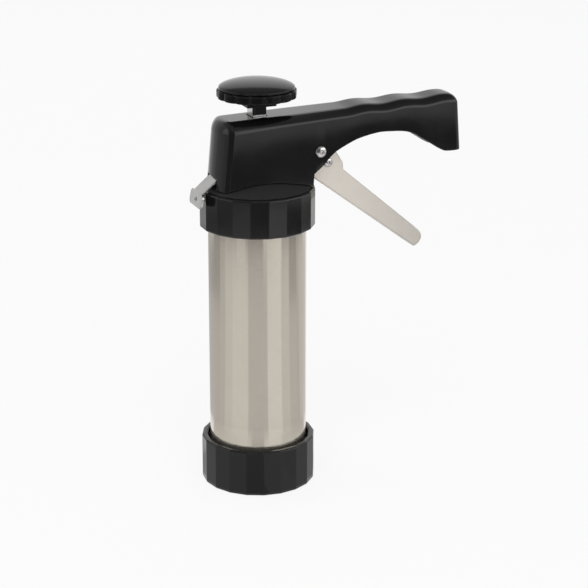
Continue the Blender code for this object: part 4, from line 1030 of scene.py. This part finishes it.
def head_wall_at_pivot():
    share = (crown_height(PIVOT_REACH) - CROWN_DROP - PIVOT_Z) / (HEAD_HEIGHT - CROWN_DROP)
    return taper(PIVOT_REACH, HEAD_HALF_WIDTH, HANDLE_HALF_WIDTH) + SIDE_DRAFT * share


def lever_pin():
    seat = head_wall_at_pivot() + PIN_STAND_OFF
    tail = seat + CLIP_THICKNESS + PIN_TAIL
    profile = [(0, -tail), (PIVOT_PIN_RADIUS - GAP, -tail), (PIVOT_PIN_RADIUS, -tail + GAP)]
    head = dome_profile(PIVOT_HEAD_RADIUS, PIVOT_HEAD_HEIGHT, seat)
    profile += [(PIVOT_PIN_RADIUS, seat), *punched(head, PIN_PUNCH)]
    return across(profile, PIVOT)


def lever_rivet():
    seat = LEVER_HALF_WIDTH + GAP
    near = punched(dome_profile(RIVET_HEAD_RADIUS, RIVET_HEAD_HEIGHT, seat), RIVET_PUNCH)
    far = [(r, -z) for r, z in near[::-1]]
    return across(far + [(RIVET_RADIUS, -seat), (RIVET_RADIUS, seat)] + near, RIVET)


# Materials


class Tree:
    """The node tree of a material or world, with short ways to add nodes to it."""

    def __init__(self, owner, clear=True):
        owner.use_nodes = True
        self.nodes, self.links = owner.node_tree.nodes, owner.node_tree.links
        if clear:
            self.nodes.clear()

    def put(self, socket, value):
        """Links a socket to another node's output, or sets it to a number or a colour."""
        if isinstance(value, bpy.types.NodeSocket):
            self.links.new(value, socket)
        elif socket.type == "RGBA":
            socket.default_value = (*value, 1)
        else:
            socket.default_value = value

    def add(self, kind, inputs, **settings):
        made = self.nodes.new(kind)
        for name, value in settings.items():
            setattr(made, name, value)
        for name, value in inputs.items():
            self.put(made.inputs[name], value)
        return made

    def get(self, kind, inputs, output=0, **settings):
        """Adds a node and returns one of its outputs."""
        return self.add(kind, inputs, **settings).outputs[output]

    def math(self, operation, *values):
        return self.get("ShaderNodeMath", dict(enumerate(values)), operation=operation)

    def seen(self, share):
        """The given share for camera, glossy and transmission rays, and none for the others."""
        rays = self.add("ShaderNodeLightPath", {}).outputs
        either = self.math("MAXIMUM", rays["Is Camera Ray"], rays["Is Glossy Ray"])
        every = self.math("MAXIMUM", either, rays["Is Transmission Ray"])
        return self.math("MULTIPLY", every, share)

    def mixed_shader(self, share, first, second):
        return self.get("ShaderNodeMixShader", {0: share, 1: first, 2: second})


class Finish(Tree):
    """A node material with what these finishes use."""

    def __init__(self, name, colour, roughness, metallic=0.0):
        self.material = bpy.data.materials.new(name)
        super().__init__(self.material, clear=False)
        self.shader = self.nodes["Principled BSDF"]
        self.feed("Base Color", colour)
        self.feed("Roughness", roughness)
        self.feed("Metallic", metallic)
        self.material.diffuse_color = (*colour, 1)
        around = self.add("ShaderNodeTexCoord", {}).outputs
        self.spot, self.facing = around["Object"], around["Normal"]

    def feed(self, name, value):
        self.put(self.shader.inputs[name], value)

    def part(self, vector, axis):
        return self.get("ShaderNodeSeparateXYZ", {0: vector}, axis)

    def round_the_barrel(self, around, up):
        """Coordinates that wrap round the barrel's axis: angle and height, scaled."""
        x = self.math("SUBTRACT", self.part(self.spot, 0), AXIS_X)
        angle = self.math("ARCTAN2", self.part(self.spot, 1), x)
        inputs = {0: self.math("MULTIPLY", angle, around)}
        inputs[2] = self.math("MULTIPLY", self.part(self.spot, 2), up)
        return self.get("ShaderNodeCombineXYZ", inputs)

    def noise(self, vector, scale, detail=3.0, roughness=0.5):
        inputs = {"Vector": vector, "Scale": scale, "Detail": detail, "Roughness": roughness}
        return self.get("ShaderNodeTexNoise", inputs, "Fac")

    def spread(self, value, low=0, high=1, source_low=0.3, source_high=0.7):
        """A value from source_low to source_high, spread from low to high."""
        inputs = {"Value": value, "From Min": source_low, "From Max": source_high}
        inputs |= {"To Min": low, "To Max": high}
        return self.get("ShaderNodeMapRange", inputs, "Result")

    def both(self, first, first_share, second, second_share):
        """Two noises added by their shares and spread out."""
        parts = (first, first_share), (second, second_share)
        return self.spread(self.math("ADD", *(self.math("MULTIPLY", *part) for part in parts)))

    def mix(self, share, first, second, kind="RGBA", blend="MIX"):
        inputs = {"Factor": share, "A": first, "B": second}
        return self.get("ShaderNodeMix", inputs, "Result", data_type=kind, blend_type=blend)

    def edge_wear(self, patches, reach):
        """How worn a place is: patches of rubbing along the edges, none on the open faces."""
        rounded = self.get("ShaderNodeBevel", {"Radius": reach}, samples=4)
        inputs = {0: rounded, 1: self.get("ShaderNodeNewGeometry", {}, "Normal")}
        turn = self.get("ShaderNodeVectorMath", inputs, "Value", operation="DOT_PRODUCT")
        near = self.spread(turn, 1, 0, WEAR_TURN, 1)
        return self.math("MULTIPLY", near, self.spread(patches, 0.2, 1, 0.35, 0.6))

    def gripped(self, start, end):
        """From 0 to 1 between two places along x, on the faces that look up."""
        along = self.spread(self.part(self.spot, 0), 0, 1, start, end)
        upward = self.spread(self.part(self.facing, 2), 0, 1, 0.55, 0.9)
        return self.math("MULTIPLY", along, upward)

    def painted_light_ramp(self, colour, axis, start, end):
        """Colour scaled from one share to another between two places along an axis: painted light.
        """
        (first, share), (last, last_share) = start, end
        scale = self.spread(self.part(self.spot, axis), share, last_share, first, last)
        inputs = {0: colour, "Scale": scale}
        return self.get("ShaderNodeVectorMath", inputs, operation="SCALE")

    def finished(self, colour, roughness, height, strength, distance):
        """The material, with its colour, its roughness and the bump of a height."""
        self.feed("Base Color", colour)
        self.feed("Roughness", roughness)
        inputs = {"Height": height, "Strength": strength, "Distance": distance}
        self.feed("Normal", self.get("ShaderNodeBump", inputs, "Normal"))
        return self.material


def black_plastic(name, low, high, level=0.45, matt_above=None, grip=None):
    """Gloss moulded plastic: faint flow marks, fine grain and smudges where hands go.

    Above the height matt_above, the mould left a matt face. Upward faces between the two
    places of grip lose their gloss, as a hand dulls them.
    """
    finish = Finish(name, PLASTIC, (low + high) / 2)
    gloss = level if grip is None else finish.spread(finish.gripped(*grip), level, GRIP_GLOSS, 0, 1)
    finish.feed("Specular IOR Level", gloss)
    roughness = finish.spread(finish.noise(finish.spot, 55, 4.0, 0.6), low, high)
    tone = finish.noise(finish.spot, 24, 2.0)
    colour = finish.mix(finish.spread(tone), *PLASTIC_TONES)
    if matt_above is not None:
        share = finish.math("GREATER_THAN", finish.part(finish.spot, 2), matt_above)
        matt = finish.math("MULTIPLY", share, MATT_ROUGHNESS)
        roughness = finish.math("MAXIMUM", roughness, matt)
        colour = finish.mix(1, colour, finish.mix(share, (0, 0, 0), MATT_LIFT), blend="ADD")
    wear = finish.edge_wear(finish.noise(finish.spot, 260), WEAR_REACH)
    roughness = finish.mix(wear, roughness, WORN_ROUGHNESS, "FLOAT")
    grain = finish.noise(finish.spot, 1500, 2.0)
    return finish.finished(finish.mix(wear, colour, PLASTIC_WORN), roughness, grain, 0.06, 0.00004)


def turned_steel(name, light, dark, low, high, anisotropic):
    """Steel that was brushed round the barrel's axis, with painted light towards its foot: its
    colour is scaled up there, against the shade near the ring.
    """
    finish = Finish(name, light, (low + high) / 2, 0.92)
    brush = finish.noise(finish.round_the_barrel(5, BRUSH_LINES), 1.0, 3.0, 0.6)
    wide = finish.noise(finish.round_the_barrel(2, 60), 1.0, 2.0)
    colour = finish.mix(finish.both(brush, 0.7, wide, 0.3), light, dark)
    finish.feed("Anisotropic", anisotropic)
    finish.feed("Anisotropic Rotation", 0.25)
    finish.feed("Tangent", finish.get("ShaderNodeTangent", {}, direction_type="RADIAL", axis="Z"))
    roughness = finish.spread(brush, low, high)
    # painted light: the colour is scaled up towards the barrel's foot
    return finish.finished(finish.painted_light_ramp(colour, 2, *FOOT_PAINTED_LIGHT), roughness, brush, 0.02, 0.00002)


def satin_steel(name, light, dark, low, high, grain=2600, metallic=1.0, painted_fade=None, edge=0.6):
    """Rolled or stamped steel sheet with a fine satin grain.

    Along x, the given ramp takes the colour from one share of itself to another: painted light,
    lighter at one end and darker at the other.
    Near the edges the colour is darkened by the share called edge, a painted edge shade, and
    rubbing leaves those places smoother.
    """
    finish = Finish(name, light, (low + high) / 2, metallic)
    grained = finish.noise(finish.spot, grain, 3.0, 0.65)
    clouds = finish.noise(finish.spot, 70, 4.0, 0.6)
    wear = finish.edge_wear(clouds, SHEET_WEAR_REACH)
    roughness = finish.mix(wear, finish.spread(clouds, low, high), low, "FLOAT")
    colour = finish.mix(finish.both(grained, 0.5, clouds, 0.5), light, dark)
    # painted light: the colour is scaled along x by the given ramp
    if painted_fade is not None:
        colour = finish.painted_light_ramp(colour, 0, *painted_fade)
    # painted shade: near the edges the colour darkens, like the dark that edges mirror
    colour = finish.mix(wear, colour, [edge * part for part in dark])
    return finish.finished(colour, roughness, grained, 0.03, 0.00002)


def bright_steel(name, low=0.05, high=0.14, edge=0.6):
    return satin_steel(name, (0.66, 0.655, 0.64), (0.46, 0.455, 0.45), low, high, 1800, edge=edge)


def rod_steel():
    """Bar steel, dark, with its two faces toward ±x painted bright: a painted reflection of the
    light those faces mirror, against the dark the others mirror. It is bright all round from a
    little over the head's top down.
    """
    finish = Finish("rod_steel", (0.06, 0.06, 0.062), 0.2, 1.0)
    aside = finish.math("SUBTRACT", finish.part(finish.spot, 0), AXIS_X)
    aside = finish.math("ABSOLUTE", aside)
    # painted reflection: the faces toward ±x take the bright colour, the others the dark one
    sides = finish.math("GREATER_THAN", aside, ROD_SIDE / 2 - ROD_CORNER / 2)
    below_head_band = finish.math("LESS_THAN", finish.part(finish.spot, 2), HEAD_TOP + BRIGHT_RISE)
    drawn = {0: finish.spot, 1: (1, 1, 0.1)}
    drawn = finish.get("ShaderNodeVectorMath", drawn, operation="MULTIPLY")
    grain = finish.noise(drawn, 900, 3.0, 0.6)
    tone = finish.spread(grain)
    painted_dark_faces = finish.mix(tone, (0.010, 0.010, 0.011), (0.026, 0.026, 0.028))
    painted_lit_faces = finish.mix(tone, (0.80, 0.79, 0.77), (0.64, 0.63, 0.62))
    colour = finish.mix(finish.math("MAXIMUM", sides, below_head_band), painted_dark_faces, painted_lit_faces)
    return finish.finished(colour, finish.spread(grain, 0.14, 0.30), grain, 0.06, 0.00003)


# Scene


def place(obj, name, body, node, material):
    """Finishes a piece that stands for a CAD node."""
    moved(obj, shifted(AXIS_X, 0, 0))
    obj.name = obj.data.name = name
    obj.data.materials.clear()
    obj.data.materials.append(material)
    obj.data.shade_smooth()
    obj.data.set_sharp_from_angle(angle=SMOOTH_ANGLE)
    modifier = obj.modifiers.new("normals", "WEIGHTED_NORMAL")
    modifier.keep_sharp = True
    apply_modifiers(obj)
    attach(obj, body)
    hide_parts(node)
    return obj


def dress_node(node, material):
    """Gives a CAD node that stays its better material."""
    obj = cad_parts[node]
    obj.data.materials.clear()
    obj.data.materials.append(material)


def linked(data):
    """An object for a camera or lamp, in the scene."""
    obj = bpy.data.objects.new(data.name, data)
    bpy.context.scene.collection.objects.link(obj)
    return obj


def away_from(azimuth, elevation):
    """The direction from the press towards a place that looks at it."""
    level = cos(elevation)
    return Vector((sin(azimuth) * level, -cos(azimuth) * level, sin(elevation)))


def make_camera():
    data = bpy.data.cameras.new("camera")
    data.lens = CAMERA_LENS
    data.sensor_width = CAMERA_SENSOR
    data.clip_start = 0.01
    data.clip_end = 100
    camera = linked(data)
    azimuth = radians(CAMERA_AZIMUTH)
    backward = away_from(azimuth, CAMERA_PITCH)
    right = Vector((cos(azimuth), sin(azimuth), 0))
    up = backward.cross(right)
    right, up = right + up * CAMERA_ROLL, up - right * CAMERA_ROLL
    turn = Matrix((right, up, backward)).transposed().to_4x4()
    x, y, z = CAMERA_PLACE
    camera.matrix_world = shifted(AXIS_X + x, y, z) @ turn
    bpy.context.scene.camera = camera


def make_floor():
    outline = rectangle_outline((-STAGE_HALF, -STAGE_HALF), (STAGE_HALF, STAGE_HALF))
    bm = bmesh.new()
    bm.faces.new([bm.verts.new((x, y, -STAGE_DROP)) for x, y in outline])
    floor = object_from(bm, "floor")
    material = bpy.data.materials.new("floor_finish")
    tree = Tree(material)
    matt = tree.get("ShaderNodeBsdfDiffuse", {"Color": [STAGE_TONE] * 3})
    glow = tree.get("ShaderNodeEmission", {})
    shader = tree.mixed_shader(tree.seen(STAGE_SEEN), matt, glow)
    tree.add("ShaderNodeOutputMaterial", {0: shader})
    floor.data.materials.append(material)


def make_lamp(name, bearing, elevation, distance, size, radiance, reflected):
    """A soft panel that faces the press."""
    data = bpy.data.lights.new(name, "AREA")
    data.shape = "RECTANGLE"
    data.size, data.size_y = size
    data.energy = radiance * pi * size[0] * size[1]
    lamp = linked(data)
    away = away_from(radians(CAMERA_AZIMUTH + bearing), radians(elevation))
    lamp.location = Vector((0, 0, LAMP_AIM)) + away * distance
    lamp.rotation_mode = "QUATERNION"
    lamp.rotation_quaternion = away.to_track_quat("Z", "Y")
    lamp.visible_camera = False
    lamp.visible_glossy = reflected


def make_world():
    """White where it is seen, mirrored or looked through; a lower plain level lights the rest."""
    world = bpy.data.worlds.new("world")
    bpy.context.scene.world = world
    tree = Tree(world)
    plain, white = (
        tree.get("ShaderNodeBackground", {"Color": (1, 1, 1), "Strength": strength})
        for strength in (WORLD_LIGHT, 1)
    )
    tree.add("ShaderNodeOutputWorld", {0: tree.mixed_shader(tree.seen(1), plain, white)})


def swept_card(name, profile, start, end, level):
    """A card swept round part of the press, between two bearings."""
    bm = bmesh.new()
    rows = []
    for i in range(CARD_STEPS + 1):
        angle = radians(CAMERA_AZIMUTH + start + (end - start) * i / CARD_STEPS)
        x, y = sin(angle), -cos(angle)
        rows.append([bm.verts.new((AXIS_X + r * x, r * y, z)) for r, z in profile])
    for first, second in pairwise(rows):
        for k in range(len(profile) - 1):
            bm.faces.new((first[k], first[k + 1], second[k + 1], second[k]))
    only_reflected(object_from(bm, name), level)


def flat_card(name, corners, height, level, turn=0):
    bm = bmesh.new()
    spin = Matrix.Rotation(radians(turn), 4, "Z")
    outline = rectangle_outline(*corners)
    bm.faces.new([bm.verts.new(spin @ Vector((x, y, height))) for x, y in outline])
    only_reflected(object_from(bm, name), level)


def only_reflected(card, level):
    """Makes a card glow at this level, for reflections alone."""
    material = bpy.data.materials.new(card.name)
    tree = Tree(material)
    glow = tree.get("ShaderNodeEmission", {"Color": [level] * 3})
    tree.add("ShaderNodeOutputMaterial", {0: glow})
    material.cycles.emission_sampling = "NONE"
    card.data.materials.append(material)
    for rays in ("camera", "diffuse", "shadow", "transmission", "volume_scatter"):
        setattr(card, "visible_" + rays, False)


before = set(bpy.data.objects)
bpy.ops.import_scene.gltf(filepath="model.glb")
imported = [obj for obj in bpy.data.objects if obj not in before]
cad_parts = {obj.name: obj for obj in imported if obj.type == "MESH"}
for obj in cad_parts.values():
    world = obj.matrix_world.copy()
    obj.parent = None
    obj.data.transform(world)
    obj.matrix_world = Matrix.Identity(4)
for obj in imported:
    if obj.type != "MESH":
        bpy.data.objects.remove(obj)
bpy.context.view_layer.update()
low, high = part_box("barrel_tube")
AXIS_X = (low.x + high.x) / 2

make_camera()
make_floor()
make_world()
flat_card("card_above", CEILING, CEILING_HEIGHT, CEILING_LEVEL, CAMERA_AZIMUTH)
flat_card("card_dark_floor", DARK_FLOOR, 2 * FOOT, DARK_FLOOR_LEVEL)
cards = [
    (profile, *ends, level)
    for profile, bearings, levels in SWEPT_CARDS
    for ends, level in zip(pairwise(bearings), levels, strict=True)
]
for i, card in enumerate(cards):
    swept_card(f"card_{i}", *card)
for lamp in LAMPS:
    make_lamp(*lamp)

black_gloss = black_plastic("black_gloss", 0.06, 0.11, grip=GRIP)
ring_plastic = black_plastic("ring_plastic", 0.14, 0.24)
collar_plastic = black_plastic("collar_plastic", 0.07, 0.14, matt_above=COLLAR_TOP + GAP)
barrel_tones = ((0.615, 0.565, 0.49), (0.565, 0.52, 0.45))
barrel_steel = turned_steel("barrel_steel", *barrel_tones, 0.10, 0.17, 0.7)
knob_plastic = black_plastic("knob_plastic", 0.10, 0.18, 0.12)
cap_plastic = black_plastic("cap_plastic", 0.10, 0.17, 0.30)
tab_steel = bright_steel("tab_steel", 0.12, 0.26, 0.4)
lever_tones = ((0.68, 0.635, 0.575), (0.60, 0.56, 0.51))
lever_steel = satin_steel(
    "lever_steel", *lever_tones, 0.30, 0.42, metallic=0.6, painted_fade=LEVER_PAINTED_LIGHT, edge=0.25
)
pin_steel = bright_steel("pin_steel", 0.08, 0.2)
rivet_steel = bright_steel("rivet_steel")
wire = satin_steel("spring_wire", (0.55, 0.55, 0.56), (0.42, 0.42, 0.43), 0.16, 0.3)
for make, name, body, node, material in (
    (head_moulding, "head_moulding", "head", "head_shell", black_gloss),
    (head_inside, "head_inside", "head", "head_shell", black_gloss),
    (bottom_ring, "bottom_ring_skin", "ring_base", "bottom_ring", ring_plastic),
    (collar, "collar_skin", "collar", "collar_nut", collar_plastic),
    (barrel, "barrel_skin", "barrel", "barrel_tube", barrel_steel),
    (knob, "knob_skirt", "plunger", "knob", knob_plastic),
    (knob_cap, "knob_dome", "plunger", "knob_cap", cap_plastic),
    (push_rod, "rod_bar", "plunger", "push_rod", rod_steel()),
    (release_plate, "release_tab", "release", "release_plate", tab_steel),
    (lever, "lever_channel", "lever_body", "lever", lever_steel),
    (lever_pin, "pivot_pin", "head", "lever_pin", pin_steel),
    (lever_rivet, "arm_rivet", "lever_body", "lever_rivet", rivet_steel),
):
    place(make(), name, body, node, material)

drive_ends = (SEAT_TOP + GAP, DRIVE_BOTTOM - GAP)
spring = coil(*DRIVE_SPRING, *drive_ends)
place(spring, "drive_coil", "head", "drive_spring", wire)
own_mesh(spring)
catch_ends = (BASE_PLATE_TOP + GAP, CATCH_Z - CATCH_THICKNESS / 2 - GAP)
spring = coil(*CATCH_SPRING, *catch_ends)
place(spring, "catch_coil", "head", "catch_spring", wire)

plate_steel = satin_steel("plate_steel", (0.62, 0.60, 0.57), (0.50, 0.49, 0.47), 0.24, 0.38)
screw_steel = bright_steel("screw_steel")
for name in ("base_plate", "spring_seat", "drive_plate", "pusher_arm"):
    dress_node(name, plate_steel)
for name in ("base_screw_1", "base_screw_2", "base_screw_3", "piston_nut", "knob_screw"):
    dress_node(name, screw_steel)
dress_node("pin_clip", wire)
dress_node("piston", black_plastic("piston_plastic", 0.25, 0.4))
disc_tones = ((0.80, 0.80, 0.81), (0.68, 0.68, 0.69))
dress_node("cookie_disc", satin_steel("disc_aluminium", *disc_tones, 0.28, 0.42))

bpy.context.scene.view_settings.view_transform = "Standard"
